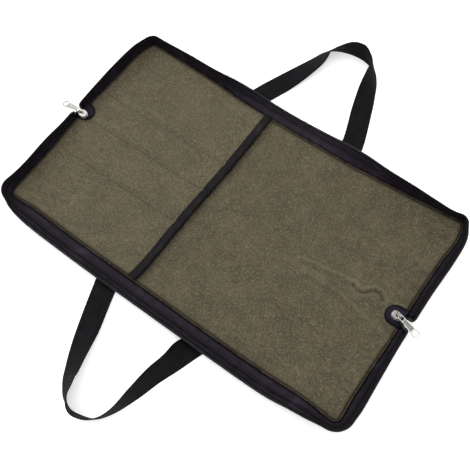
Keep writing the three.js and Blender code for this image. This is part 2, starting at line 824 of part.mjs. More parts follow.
function sliderGeometry() {
  const shield = [
    [-0.5, -0.22],
    [-0.34, -0.44],
    [0.0, -0.5],
    [0.3, -0.4],
    [0.5, -0.24],
    [0.5, 0.24],
    [0.3, 0.4],
    [0.0, 0.5],
    [-0.34, 0.44],
    [-0.5, 0.22],
  ].map(([x, y]) => [x * sliderLength, y * sliderWidth]);
  const lower = extruded(shield, sliderPlate);
  const upper = extruded(shield, sliderPlate).translate(0, 0, sliderPlate + sliderMouth);
  const post = extruded(
    [
      [-0.32, -0.1],
      [0.1, -0.12],
      [0.28, 0],
      [0.1, 0.12],
      [-0.32, 0.1],
    ].map(([x, y]) => [x * sliderLength, y * sliderWidth]),
    sliderMouth + 0.4,
  ).translate(0, 0, sliderPlate - 0.2);
  const start = bridgeEnd - bridgeLength;
  const crown = sliderTop + bridgeClear + bridgeThickness;
  const under = sliderTop + bridgeClear;
  const foot = sliderTop - 0.3;
  const arch = extruded(
    [
      [start, foot],
      [start + bridgeThickness, foot],
      [start + bridgeThickness, under],
      [bridgeEnd - bridgeThickness, under],
      [bridgeEnd - bridgeThickness, foot],
      [bridgeEnd, foot],
      [bridgeEnd, crown - 0.9],
      [bridgeEnd - 0.9, crown],
      [start + 1.4, crown],
      [start, crown - 1.4],
    ],
    bridgeWidth,
  );
  arch.rotateX(Math.PI / 2);
  arch.translate(0, bridgeWidth / 2, 0);
  return joined([lower, upper, post, arch]);
}

// Pull: a bar in the bridge, a square eye, a tapered plate with raised rails and a round ring.
// Its local origin is the middle of the bar, X points along the pull.
function pullGeometry() {
  const bar = pullThickness / 2;
  const ringX = pullLength - ringRadius;
  const shape = new THREE.Shape();
  const neck = pullNeckWidth / 2;
  const body = pullBodyWidth / 2;
  const meet = Math.asin(body / ringRadius);
  shape.moveTo(-bar, -neck);
  shape.lineTo(bar + eyeLength, -neck);
  shape.lineTo(ringX - ringRadius * Math.cos(meet), -body);
  shape.absarc(ringX, 0, ringRadius, -Math.PI + meet, Math.PI - meet, false);
  shape.lineTo(bar + eyeLength, neck);
  shape.lineTo(-bar, neck);
  shape.closePath();
  const eye = new THREE.Path();
  const side = neck - pullRail;
  eye.moveTo(bar, -side);
  eye.lineTo(bar, side);
  eye.lineTo(bar + eyeLength, side);
  eye.lineTo(bar + eyeLength, -side);
  eye.closePath();
  const hole = new THREE.Path();
  hole.absarc(ringX, 0, ringHoleRadius, 0, Math.PI * 2, true);
  shape.holes.push(eye, hole);
  const plate = new THREE.ExtrudeGeometry(shape, {
    depth: pullThickness,
    bevelEnabled: false,
    curveSegments: 14,
  });
  plate.translate(0, 0, -pullThickness / 2);
  const start = bar + eyeLength + pullRail;
  const end = ringX - ringRadius - pullRail / 2;
  const recess = extruded(
    [
      [start, -side],
      [end, pullRail - body],
      [end, body - pullRail],
      [start, side],
    ],
    pullRecess * 2,
  );
  recess.translate(0, 0, pullThickness / 2 - pullRecess);
  return fromManifold(toManifold(plate).subtract(toManifold(recess)));
}

function addSlider(group, name) {
  const end = zipEnds[name];
  const pose = sliderPose(end);
  const holder = new THREE.Group();
  holder.position.set(pose.px, pose.py, pose.z);
  holder.rotation.order = "ZYX";
  holder.rotation.set(0, -pose.pitch, pose.yaw);
  holder.add(named(`${name}_slider`, sliderGeometry(), metalMaterial));
  const pull = new THREE.Group();
  pull.position.set(hingeX, 0, hingeZ);
  pull.rotation.order = "ZYX";
  pull.rotation.set(0, radians(end.pullTilt), radians(end.pullSwing));
  pull.add(named(`${name}_pull`, pullGeometry(), metalMaterial));
  holder.add(pull);
  group.add(holder);
}

// Webbing loop from its table: the outer edge runs along the table, the inner edge rises off it
function handleGeometry(table, side, reach) {
  const seamY = seamAt(side < 0 ? 0.5 : 2.5).y;
  const points = table.map((row) => {
    return new THREE.Vector3(row.across * handleSpread, seamY + side * row.out * reach, 0);
  });
  const curve = new THREE.CatmullRomCurve3(points, false, "centripetal");
  const tilts = table.map((row, i) => ({ at: i / (table.length - 1), tilt: row.tilt }));
  const half = webbingThickness / 2;
  const outline = [
    [0, -half],
    [webbingWidth, -half],
    [webbingWidth, half],
    [0, half],
  ];
  const rings = [];
  for (let i = 0; i <= handleStations; i += 1) {
    const at = i / handleStations;
    const foot = curve.getPoint(at);
    const along = curve.getTangent(at);
    const tilt = radians(Math.max(0, lookUp(tilts, "at", "tilt", at)));
    const inward = new THREE.Vector3(along.y * side, -along.x * side, 0);
    const up = new THREE.Vector3(0, 0, 1);
    const rise = inward.clone().multiplyScalar(Math.cos(tilt)).addScaledVector(up, Math.sin(tilt));
    const face = inward.clone().multiplyScalar(-Math.sin(tilt)).addScaledVector(up, Math.cos(tilt));
    foot.z = half * Math.abs(Math.cos(tilt)) + 0.1;
    rings.push(
      outline.map(([w, h]) => {
        return foot.clone().addScaledVector(rise, w).addScaledVector(face, h).toArray();
      }),
    );
  }
  return ringSolid(rings, outline);
}

function named(name, geometry, material) {
  const mesh = new THREE.Mesh(geometry, material);
  mesh.name = name;
  return mesh;
}

const fabricOutline = [0, 1, 2, 3].map((x) => [x, 1]).concat([3, 2, 1, 0].map((x) => [x, -1]));
const tapeOutline = [
  [0, 1],
  [1, 1],
  [1, -1],
  [0, -1],
];
const pipingOutline = [
  [0, -1],
  [0.3, 1],
  [1.7, 1],
  [2, -1],
];

const knifeRoll = new THREE.Group();
knifeRoll.add(named("canvas_panel", panelGeometry(), canvasMaterial));
knifeRoll.add(named("pocket_panel", pocketGeometry(), canvasMaterial));
knifeRoll.add(named("pocket_binding", bindingGeometry(), webbingMaterial));

const { left, right } = zipEnds;
const halves = [
  { name: "near", ends: [left, right], start: left.fold - 4, stop: right.fold },
  { name: "far", ends: [right, left], start: right.fold, stop: left.fold },
];
for (const { name, ends, start, stop } of halves) {
  const fabric = ringSolid(fabricRings(turnsBetween(start, stop, fabricRun, fabricRun)), fabricOutline);
  const tape = ringSolid(tapeRings(turnsBetween(start, stop, tapeRun, tapeRun)), tapeOutline);
  const coil = ringSolid(coilRings(coilLine(...ends, start, stop)), coilSection);
  const pipingRuns = ends.map((end, i) => {
    const towards = (end.sign > 0) === (i === 0) ? 1 : -1;
    return tabWidth / 2 + clearance + towards * end.tabShift;
  });
  const piping = ringSolid(pipingRings(turnsBetween(start, stop, ...pipingRuns)), pipingOutline);
  knifeRoll.add(named(`${name}_gusset`, fabric, gussetMaterial));
  knifeRoll.add(named(`${name}_zip_tape`, tape, gussetMaterial));
  knifeRoll.add(named(`${name}_zip_coil`, coil, coilMaterial));
  knifeRoll.add(named(`${name}_piping`, piping, pipingMaterial));
}

knifeRoll.add(named("left_tab", tabGeometry(left), gussetMaterial));
knifeRoll.add(named("right_tab", tabGeometry(right), gussetMaterial));
addSlider(knifeRoll, "left");
addSlider(knifeRoll, "right");

const nearHandle = handleGeometry(nearHandleTable, -1, nearHandleReach);
const farHandle = handleGeometry(farHandleTable, 1, farHandleReach);
knifeRoll.add(named("near_handle", nearHandle, webbingMaterial));
knifeRoll.add(named("far_handle", farHandle, webbingMaterial));

export default knifeRoll;
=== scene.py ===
"""Looks of the open zip-up canvas case: cloth, webbing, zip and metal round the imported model."""

import bisect
import math

import bmesh
import bpy
import numpy as np
from mathutils import Matrix, Vector, noise


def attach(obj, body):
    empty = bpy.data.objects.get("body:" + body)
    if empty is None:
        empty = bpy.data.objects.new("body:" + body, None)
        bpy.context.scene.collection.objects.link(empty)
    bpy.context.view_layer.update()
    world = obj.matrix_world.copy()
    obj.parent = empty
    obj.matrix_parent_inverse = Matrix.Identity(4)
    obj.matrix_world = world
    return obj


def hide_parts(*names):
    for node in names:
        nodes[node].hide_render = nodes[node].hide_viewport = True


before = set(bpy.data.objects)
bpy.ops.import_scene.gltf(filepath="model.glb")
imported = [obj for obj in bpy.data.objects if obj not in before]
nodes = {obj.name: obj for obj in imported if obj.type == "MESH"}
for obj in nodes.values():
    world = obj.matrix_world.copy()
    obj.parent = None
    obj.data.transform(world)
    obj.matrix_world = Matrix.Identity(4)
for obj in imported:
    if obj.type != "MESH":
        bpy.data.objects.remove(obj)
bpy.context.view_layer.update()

# Camera, in metres
CAMERA_PLACE = (0.24218, -0.29339, 0.76475)
CAMERA_RIGHT = (0.81057, 0.58492, -0.02908)
CAMERA_UP = (-0.52341, 0.74581, 0.41208)
CAMERA_FORWARD = (-0.26272, 0.31880, -0.91068)
FOCAL_PIXELS = 654.3
FRAME_PIXELS = 470
SENSOR_WIDTH = 36

# Sizes of the solids, in millimetres
MM = 0.001
PANEL_LENGTH = 503
PANEL_WIDTH = 300
PANEL_THICKNESS = 2.6
CORNER_RADIUS = 8
RIM_WIDTH = 36
RIM_LIFT = 8.4
SEAM_WANDER = 10
FOLD_RIDGE = {"height": 1.5, "length": 120, "width": 34}
CLEARANCE = 0.35
PIPING_WIDTH = 2
PIPING_HEIGHT = 3.4
FABRIC_WIDTH = 13.2
FABRIC_THICKNESS = 1.2
TAPE_WIDTH = 4.8
COIL_WIDTH = 4.5
COIL_HEIGHT = 2.6
GUSSET_BOW = 0.9
POCKET_DEPTH = 216
POCKET_THICKNESS = 1.3
POCKET_GAP = 0.5
POCKET_SHOULDER = 9
POCKET_END_TAPER = 45
STITCH_LINES = (-57, 0, 47)
BINDING_WIDTH = 16
BINDING_LEAF = 1
STRIP_WIDTH = 11.6
MOUTH_SET_BACK = 2.2
MOUTH_LEAN = 1.9
MOUTH_WAVE = 0.6
FINE_COLUMNS = (100, 246)
FINE_ROWS = (-40, 20)
TAB_WIDTH = 26
TAB_THICKNESS = 1.5
SLIDER_LENGTH = 13
SLIDER_PLATE = 1.2
SLIDER_MOUTH = 3
WEBBING_WIDTH = 30
WEBBING_THICKNESS = 1.8
HANDLE_SPREAD = 120
SEAM_STEP = 0.002
SEAMS_A_SIDE = 500
SLIDER_ROOM = 1.4 * CLEARANCE
MOUTH_ROOM = 5 * CLEARANCE
NOTCH_HALF = 1.5 * COIL_WIDTH
FABRIC_RUN = NOTCH_HALF + COIL_WIDTH / 2 + 2 * CLEARANCE
TAPE_RUN = 2.95 * COIL_WIDTH
COIL_RUN = 3.6 * COIL_WIDTH
SLANT_REACH = 45

# Sizes that only the looks have, in millimetres
POCKET_ARCH = 2.3
CLOTH_STEP = 2.3
FINE_STEP = 1.5
STRIP_STEP = 2.5
COIL_PITCH = 1.5
COIL_WIRE = 0.42
RIB_PITCH = 2.1
STITCH_LENGTH = 2.7
STITCH_GAP = 0.9
TAB_STITCH_MARGIN = 3.3
THREAD_RADIUS = 0.3
HELIX_STEPS = 10
WIRE_SIDES = 5
CORD_SIDES = 12
LIGHT_LEVEL = 1.45

HALF_LENGTH = PANEL_LENGTH / 2
HALF_WIDTH = PANEL_WIDTH / 2
GUSSET_WIDTH = FABRIC_WIDTH + TAPE_WIDTH + COIL_WIDTH + 2 * CLEARANCE
FABRIC_SHARE = FABRIC_WIDTH / (FABRIC_WIDTH + TAPE_WIDTH)
MOUTH_X = POCKET_DEPTH - HALF_LENGTH
UP = Vector((0, 0, 1))

ZIP_ENDS = {
    "left": {
        "sign": -1, "fold": 3.5, "inset": 4.5, "shift": -1.5, "pitch": 5, "swing": 0,
        "tab_depth": 15.5, "tab_shift": 5, "slant": -0.2,
    },
    "right": {
        "sign": 1, "fold": 1.485, "inset": 7.2, "shift": 0, "pitch": 5, "swing": -4,
        "tab_depth": 22, "tab_shift": 1.8, "slant": -0.33,
    },
}


class Table:
    """Rows of numbers under named columns, read smoothly at any place along the first column."""

    def __init__(self, columns, rows, period=None):
        if period:
            before = [(row[0] - period, *row[1:]) for row in rows[-3:]]
            after = [(row[0] + period, *row[1:]) for row in rows[:3]]
            rows = before + rows + after
        self.period = period
        self.column = {name: [row[i] for row in rows] for i, name in enumerate(columns)}
        self.keys = [row[0] for row in rows]

    def at(self, name, place):
        if self.period:
            place %= self.period
        keys, values = self.keys, self.column[name]
        last = len(keys) - 1
        i = min(max(bisect.bisect_right(keys, place) - 1, 0), last - 1)
        span = keys[i + 1] - keys[i]
        t = min(max((place - keys[i]) / span, 0), 1)
        slopes = []
        for k in (i, i + 1):
            a, b = max(0, k - 1), min(last, k + 1)
            slopes.append((values[b] - values[a]) / (keys[b] - keys[a]))
        t2, t3 = t * t, t * t * t
        bend = (t3 - 2 * t2 + t) * slopes[0] * span + (t3 - t2) * slopes[1] * span
        return values[i] + (3 * t2 - 2 * t3) * (values[i + 1] - values[i]) + bend


# The seam and the zip band round the case. turn counts the sides from the near left corner
SEAM = Table(
    ("turn", "inset", "lift", "slope", "lean"),
    [
        (0.0, 0.01, 1.0, 0.92, 68), (0.035, 0.12, 1.0, 0.98, 40), (0.08, 0.24, 1.05, 1.0, 13),
        (0.15, 0.15, 1.1, 0.99, -2), (0.3, 0.02, 1.16, 0.99, -6), (0.5, -0.03, 1.12, 0.98, -3),
        (0.7, -0.09, 1.16, 0.97, 3), (0.82, 0.01, 1.05, 0.97, 3), (0.89, 0.18, 1.0, 0.99, 23),
        (0.94, 0.14, 1.0, 0.98, 36), (1.0, -0.06, 1.0, 0.93, 55), (1.08, 0.06, 0.9, 1.0, 52),
        (1.2, 0.08, 0.8, 1.0, 56), (1.36, -0.02, 0.6, 0.92, 61), (1.485, 0.0, 0.45, 0.86, 58),
        (1.62, 0.04, 0.65, 0.97, 61), (1.8, -0.1, 0.85, 0.98, 60), (1.9, -0.36, 1.0, 1.0, 73),
        (1.97, -0.15, 1.0, 0.94, 90), (2.03, 0.26, 1.0, 0.85, 98), (2.08, 0.48, 1.0, 0.9, 92),
        (2.14, 0.68, 0.98, 0.95, 82), (2.24, 0.84, 0.85, 0.97, 68), (2.32, 0.99, 0.7, 0.98, 38),
        (2.41, 0.95, 0.6, 1.0, 7), (2.6, 0.91, 0.6, 0.97, 6), (2.69, 0.82, 0.8, 0.92, 40),
        (2.76, 0.53, 0.95, 0.95, 74), (2.86, 0.28, 1.0, 0.95, 83), (3.0, -0.01, 1.0, 0.91, 90),
        (3.1, -0.59, 0.95, 0.92, 86), (3.25, -0.66, 0.8, 0.94, 82), (3.4, -0.92, 0.58, 0.85, 86),
        (3.5, -0.94, 0.45, 0.8, 88), (3.6, -0.71, 0.58, 0.79, 86), (3.72, -0.32, 0.8, 0.91, 82),
        (3.9, -0.1, 0.95, 0.95, 86),
    ],
    period=4,
)

# How each zip half turns in to its slider: away from the fold, along the slope, how far into the mouth
ZIP_TURN = [
    (2.9, 1.0, 0), (2.15, 0.985, 0), (1.7, 0.92, 0), (1.52, 0.78, 0),
    (1.5, 0.6, 0.04), (1.38, 0.46, 0.25), (1.05, 0.38, 0.65), (0.62, 0.34, 1),
]
WEB_START = (4.2, 1.0, 0)
WEB_STOP = (0.3, 0.34, 1)

# Webbing loops along their outer edge: across and out as shares, tilt in degrees
HANDLES = {
    "near": {
        "side": -1,
        "reach": 170,
        "rows": [
            (-0.77, -0.085, 0), (-0.762, 0.033, 0), (-0.72, 0.133, 0), (-0.533, 0.491, 10),
            (-0.438, 0.648, 25), (-0.351, 0.767, 38), (-0.282, 0.85, 48), (-0.161, 0.935, 64),
            (-0.041, 0.963, 85), (0.056, 0.954, 100), (0.213, 0.913, 100), (0.319, 0.82, 94),
            (0.431, 0.635, 72), (0.501, 0.476, 58), (0.58, 0.332, 43), (0.653, 0.185, 3),
            (0.733, 0.02, 0), (0.75, -0.085, 0),
        ],
    },
    "far": {
        "side": 1,
        "reach": 165,
        "rows": [
            (-0.79, -0.055, 0), (-0.767, 0.088, 0), (-0.745, 0.196, 0), (-0.601, 0.465, 4),
            (-0.431, 0.749, 30), (-0.363, 0.868, 51), (-0.292, 0.93, 58), (-0.201, 0.97, 67),
            (-0.058, 0.999, 87), (0.048, 1.003, 93), (0.102, 1.001, 91), (0.183, 0.986, 84),
            (0.296, 0.95, 72), (0.4, 0.855, 51), (0.498, 0.704, 31), (0.6, 0.512, 18),
            (0.736, 0.223, 16), (0.769, 0.072, 4), (0.79, -0.055, 0),
        ],
    },
}

# Creases in the canvas: points along each, its depth, its width and how dark its groove is painted as shade
CREASES = [
    {
        "depth": 1.3, "width": 2.2, "dark": 0.2,
        "line": [(112, -8), (140, -4), (158, -1), (172, 0.5), (181, 2.4)],
    },
    {
        "depth": 1.7, "width": 1.8, "dark": 0.75,
        "line": [
            (181, 2.4), (187, 0.6), (192, -0.2), (197.6, 1.9), (201.5, 7.1), (207, 12.1), (213, 12.5),
            (221, 7),
        ],
    },
    {
        "depth": 1.1, "width": 2.4, "dark": 0.25,
        "line": [(123, -23), (150, -22), (172, -22), (211, -30), (244, -36)],
    },
    {"depth": 0.9, "width": 2.2, "dark": 0.15, "line": [(214, -96), (228, -92), (240, -94)]},
    {"depth": 0.8, "width": 2.4, "dark": 0.15, "line": [(150, 60), (170, 66), (196, 65)]},
]
CREASE_REACH = 16
CREASE_END = 14


def clamp(value, low, high):
    return min(high, max(low, value))


def ramp(value):
    t = clamp(value, 0, 1)
    return t * t * (3 - 2 * t)


def bell(gap, middle, width):
    return math.exp(-(((gap - middle) / width) ** 2))


def ripple(x, y, z):
    return noise.noise(Vector((x, y, z)))


# Plan and height of the panel
def square_place(turn):
    side, share = divmod(turn % 4, 1)
    if side == 0:
        return share * PANEL_LENGTH - HALF_LENGTH, -HALF_WIDTH
    if side == 1:
        return HALF_LENGTH, share * PANEL_WIDTH - HALF_WIDTH
    if side == 2:
        return HALF_LENGTH - share * PANEL_LENGTH, HALF_WIDTH
    return -HALF_LENGTH, HALF_WIDTH - share * PANEL_WIDTH


def plan_point(x, y):
    px, py = abs(x), abs(y)
    flat_x, flat_y = HALF_LENGTH - CORNER_RADIUS, HALF_WIDTH - CORNER_RADIUS
    if px > flat_x and py > flat_y:
        p, q = (px - flat_x) / CORNER_RADIUS, (py - flat_y) / CORNER_RADIUS
        px = flat_x + CORNER_RADIUS * p * math.sqrt(max(0, 1 - q * q / 2))
        py = flat_y + CORNER_RADIUS * q * math.sqrt(max(0, 1 - p * p / 2))
    share_x, share_y = (x + HALF_LENGTH) / PANEL_LENGTH, (y + HALF_WIDTH) / PANEL_WIDTH
    weight_x = ramp(2 * abs(x) / PANEL_LENGTH * 1.6 - 0.6)
    weight_y = ramp(2 * abs(y) / PANEL_WIDTH * 1.6 - 0.6)
    if weight_x:
        px -= SEAM.at("inset", 1 + share_y if x > 0 else 4 - share_y) * SEAM_WANDER * weight_x
    if weight_y:
        py -= SEAM.at("inset", 3 - share_x if y > 0 else share_x) * SEAM_WANDER * weight_y
    return math.copysign(px, x), math.copysign(py, y)


def panel_under(x, y):
    share_x, share_y = (x + HALF_LENGTH) / PANEL_LENGTH, (y + HALF_WIDTH) / PANEL_WIDTH
    sides = (
        (share_x, y + HALF_WIDTH),
        (1 + share_y, HALF_LENGTH - x),
        (3 - share_x, HALF_WIDTH - y),
        (4 - share_y, x + HALF_LENGTH),
    )
    flat, lifted, weights = 1, 0, 0
    for turn, gap in sides:
        rise = clamp(1 - gap / RIM_WIDTH, 0, 1) ** 2
        if rise:
            flat *= 1 - rise
            lifted += rise * SEAM.at("lift", turn)
            weights += rise
    rim = lifted / weights * (1 - flat) * RIM_LIFT if weights else 0
    ridge_x = (x - HALF_LENGTH * 0.66) / (FOLD_RIDGE["length"] / 2)
    ridge_y = (y + FOLD_RIDGE["width"] * 0.35) / (FOLD_RIDGE["width"] / 2)
    ridge = max(0, 1 - ridge_x * ridge_x) * max(0, 1 - ridge_y * ridge_y)
    return rim + FOLD_RIDGE["height"] * ridge


def panel_top(x, y):
    return panel_under(x, y) + PANEL_THICKNESS


def seam_gap(x, y):
    """Distance inwards from the seam."""
    return min(HALF_LENGTH - abs(x), HALF_WIDTH - abs(y))


def line_gap(line, x, y):
    """Distance from a line of points, with the side it is on."""
    best, side = 1e9, 1
    for (ax, ay), (bx, by) in zip(line, line[1:]):
        dx, dy = bx - ax, by - ay
        t = clamp(((x - ax) * dx + (y - ay) * dy) / (dx * dx + dy * dy), 0, 1)
        gap = math.hypot(x - ax - t * dx, y - ay - t * dy)
        if gap < best:
            best, side = gap, 1 if dx * (y - ay) - dy * (x - ax) > 0 else -1
    return best, side


# Relief of the cloth: height, lengths along x and y, layer of the noise
RELIEF = [(0.5, 60, 60, 0), (0.26, 21, 17, 4), (0.1, 7, 8, 9)]
SEAM_PUCKERS = {"reach": 22, "middle": 8, "width": 5, "height": 0.55, "end_height": 1.3}
# Painted shade beside the seam: how dark, how wide
EDGE_SHADE = [(1.0, 1.9), (0.2, 6)]
# Painted shade in the dents along the right end: reach, middle, width, how dark
END_DENT_SHADE = {"reach": 34, "middle": 11, "width": 8, "dark": 0.42}


def cloth_relief(x, y, seed):
    """Small rise and fall of waxed cloth that has been folded and carried."""
    rise = sum(height * ripple(x / u, y / v, seed + layer) for height, u, v, layer in RELIEF)
    gap = seam_gap(x, y)
    if gap < SEAM_PUCKERS["reach"]:
        along = x if HALF_WIDTH - abs(y) < HALF_LENGTH - abs(x) else y
        at_end = HALF_LENGTH - x < SEAM_PUCKERS["reach"]
        strength = SEAM_PUCKERS["end_height" if at_end else "height"]
        near_seam = bell(gap, SEAM_PUCKERS["middle"], SEAM_PUCKERS["width"])
        rise += strength * near_seam * ripple(along / 9, gap / 14, seed + 2)
        rise *= ramp(gap / 3)
    return rise


def creases_at(x, y):
    """Rise of the creases at a point, with painted shade in their grooves and rubbed light on their ridges.
    """
    rise, mark = 0, 0
    for crease in CREASES:
        line = crease["line"]
        if not line[0][0] - CREASE_END < x < line[-1][0] + CREASE_END:
            continue
        gap, side = line_gap(line, x, y)
        if gap < CREASE_REACH:
            width = crease["width"]
            lip = 0.45 if side > 0 else 0.25
            groove = bell(gap, 0, width)
            ridge = lip * bell(gap, 2.6 * width, 1.6 * width)
            rise += crease["depth"] * (ridge - groove)
            # Painted shade in the groove, rubbed light on the ridge
            mark += 0.9 * ridge * crease["depth"] - crease["dark"] * groove
    return rise, mark


def canvas_top(x, y):
    """Upper side of the canvas, pressed smoother under the pocket."""
    rise = cloth_relief(x, y, 1.5)
    if x > FINE_COLUMNS[0]:
        rise += creases_at(x, y)[0]
    return panel_top(x, y) + rise * (0.25 if x < MOUTH_X - 20 else 1)


def edge_shade(x, y):
    """Painted shade: the dark line where the cloth turns down into its seam."""
    gap = seam_gap(x, y)
    return -sum(dark * bell(gap, 0, width) for dark, width in EDGE_SHADE)


def canvas_marks(x, y):
    """Where the canvas is painted in shade, below 0, or shows rubbed light."""
    marks = edge_shade(x, y)
    if x > FINE_COLUMNS[0]:
        marks += creases_at(x, y)[1]
    # Painted shade in the hollows where the canvas rises to the right end
    if HALF_LENGTH - x < END_DENT_SHADE["reach"]:
        dent = ramp(2.2 * ripple(y / 13, x / 18, 4)) * END_DENT_SHADE["dark"]
        marks -= dent * bell(HALF_LENGTH - x, END_DENT_SHADE["middle"], END_DENT_SHADE["width"])
    return marks


# Pocket panel and its binding
def arch_share(x, y):
    share = clamp((HALF_WIDTH - abs(y)) / RIM_WIDTH, 0, 1)
    for stitch in STITCH_LINES:
        share = min(share, abs(y - stitch) / POCKET_SHOULDER)
    round_share = math.sin(ramp(share) * math.pi / 2)
    return round_share * clamp((x + HALF_LENGTH - RIM_WIDTH) / POCKET_END_TAPER, 0, 1)


def leaf_room(x):
    return (BINDING_LEAF + CLEARANCE) * clamp((x - MOUTH_X + 3 * BINDING_WIDTH) / BINDING_WIDTH, 0, 1)


def pocket_under(x, y):
    return panel_top(x, y) + POCKET_GAP + leaf_room(x) + POCKET_ARCH * arch_share(x, y)


def pocket_top(x, y):
    return pocket_under(x, y) + POCKET_THICKNESS + 0.55 * cloth_relief(x, y, 7.5)


def mouth_at(y):
    waves = MOUTH_WAVE * math.sin(y / PANEL_WIDTH * math.pi * 3)
    return MOUTH_X - MOUTH_SET_BACK + MOUTH_LEAN * y / HALF_WIDTH + waves


# Seam, zip band and coil paths
def notch_slant(turn):
    slant = 0
    for end in ZIP_ENDS.values():
        around = (turn - end["fold"] + 6) % 4 - 2
        slant += end["slant"] * (1 - ramp((abs(around) * PANEL_WIDTH - NOTCH_HALF) / SLANT_REACH))
    return slant


class Seam:
    """The seam at one turn: its place, its outward way, and how the band stands there."""

    def __init__(self, turn):
        self.x, self.y = plan_point(*square_place(turn))
        self.z = panel_under(*square_place(turn)) + PANEL_THICKNESS / 2
        ax, ay = plan_point(*square_place(turn - SEAM_STEP))
        bx, by = plan_point(*square_place(turn + SEAM_STEP))
        span = math.hypot(bx - ax, by - ay)
        self.out_x, self.out_y = (by - ay) / span, -(bx - ax) / span
        self.width = SEAM.at("slope", turn) * GUSSET_WIDTH
        self.coil_middle = self.width - COIL_WIDTH / 2
        self.cloth_edge = self.width - COIL_WIDTH - CLEARANCE
        self.lean = math.radians(SEAM.at("lean", turn))
        self.start = PIPING_WIDTH + 2 * CLEARANCE + FABRIC_THICKNESS / 2 * abs(math.sin(self.lean))
        self.slant = notch_slant(turn)

    def place(self, out, up, slide=0):
        return Vector((self.x + self.out_x * out, self.y + self.out_y * out + slide, self.z + up))

    def on_band(self, walk, lift):
        """Point a walk up from the band's foot, lifted off its middle face."""
        share = walk / self.width
        bulge = GUSSET_BOW * 4 * share * (1 - share) + lift
        sin, cos = math.sin(self.lean), math.cos(self.lean)
        out = self.start + walk * cos - bulge * sin
        return self.place(out, walk * sin + bulge * cos, self.slant * walk)

    def normal(self):
        inward = -math.sin(self.lean)
        return Vector((self.out_x * inward, self.out_y * inward, math.cos(self.lean)))


def even_turns(first, last, step):
    """Turns whose points lie about a step apart, half way up the band and at its edge."""
    fine = np.linspace(first, last, int((last - first) * SEAMS_A_SIDE))
    seams = [Seam(turn) for turn in fine]
    lines = [[seam.on_band(seam.width * share, 0) for seam in seams] for share in (0.5, 1)]
    walked = [0.0]
    for k in range(1, len(fine)):
        walked.append(walked[-1] + max((line[k] - line[k - 1]).length for line in lines))
    count = max(2, int(walked[-1] / step))
    return list(np.interp(np.linspace(0, walked[-1], count), walked, fine))


def tab_floor(sign, inset, y):
    x = sign * (HALF_LENGTH - max(0, inset))
    top = panel_top(x, y) if sign > 0 else pocket_under(x, y) + POCKET_THICKNESS
    return top + CLEARANCE


class SliderPose:
    """Where a slider stands on its tab, and places in its mouth."""

    def __init__(self, end):
        share = end["fold"] - 1 if end["sign"] > 0 else 4 - end["fold"]
        self.sign = end["sign"]
        self.fold_y = share * PANEL_WIDTH - HALF_WIDTH
        y = self.fold_y + end["shift"]
        self.x, self.y = plan_point(end["sign"] * (HALF_LENGTH - end["inset"]), y)
        self.pitch = math.radians(end["pitch"])
        self.z = 0
        for inward in (-1, -0.5, 0, 0.5, 1):
            reach = inward * SLIDER_LENGTH / 2
            floor = tab_floor(end["sign"], end["inset"] + reach, y) + TAB_THICKNESS + SLIDER_ROOM
            self.z = max(self.z, floor + math.sin(self.pitch) * reach)
        self.yaw = (0 if end["sign"] > 0 else math.pi) + math.radians(end["swing"])

    def world(self, outward, sideways):
        turned = sideways * self.sign
        height = self.z + math.sin(self.pitch) * outward + SLIDER_PLATE + SLIDER_MOUTH / 2
        cos, sin = math.cos(self.yaw), math.sin(self.yaw)
        return Vector((self.x + cos * outward - sin * turned, self.y + sin * outward + cos * turned, height))


def turned_in(pose, fold, towards, away, along, mouth, lift=0):
    """The seam and the coil's middle where a zip half turns in to a slider, as a row of ZIP_TURN says."""
    seam = Seam(fold + towards * away * COIL_WIDTH / PANEL_WIDTH)
    side = math.copysign(1, seam.y - pose.fold_y)
    inside = pose.world(SLIDER_LENGTH / 2 + MOUTH_ROOM, side * away * COIL_WIDTH)
    return seam, seam.on_band(seam.coil_middle * along, lift).lerp(inside, mouth)


def coil_path(folds):
    """Points and upward directions along one zip half, from slider to slider."""
    runs = []
    for end, fold, towards in folds:
        pose = SliderPose(end)
        runs.append([])
        for row in ZIP_TURN:
            seam, point = turned_in(pose, fold, towards, *row)
            runs[-1].append((point, seam.normal().lerp(UP, row[2]).normalized()))
    room = COIL_RUN / PANEL_WIDTH
    seams = [Seam(turn) for turn in even_turns(folds[0][1] + room, folds[1][1] - room, 4)]
    return runs[0][::-1] + [(s.on_band(s.coil_middle, 0), s.normal()) for s in seams] + runs[1]


def resample(points, ups, step):
    """The same path in even steps: lengths walked, points, ways across and ways up."""
    points = np.array([list(p) for p in points])
    ups = np.array([list(u) for u in ups])
    walked = np.concatenate([[0], np.cumsum(np.linalg.norm(np.diff(points, axis=0), axis=1))])
    slopes = np.gradient(points, walked, axis=0)
    places = np.linspace(0, walked[-1], max(2, int(walked[-1] / step)))
    index = np.clip(np.searchsorted(walked, places, side="right") - 1, 0, len(walked) - 2)
    span = (walked[index + 1] - walked[index])[:, None]
    t = (places[:, None] - walked[index][:, None]) / span
    t2, t3 = t * t, t * t * t
    line = points[index] * (2 * t3 - 3 * t2 + 1) + points[index + 1] * (3 * t2 - 2 * t3)
    line += (t3 - 2 * t2 + t) * slopes[index] * span + (t3 - t2) * slopes[index + 1] * span
    up = ups[index] * (1 - t) + ups[index + 1] * t
    forward = np.gradient(line, axis=0)
    forward /= np.linalg.norm(forward, axis=1)[:, None]
    across = np.cross(forward, up)
    across /= np.linalg.norm(across, axis=1)[:, None]
    return places, line, across, np.cross(across, forward)


# Mesh makers
def add_object(name, data):
    obj = bpy.data.objects.new(name, data)
    bpy.context.scene.collection.objects.link(obj)
    return obj


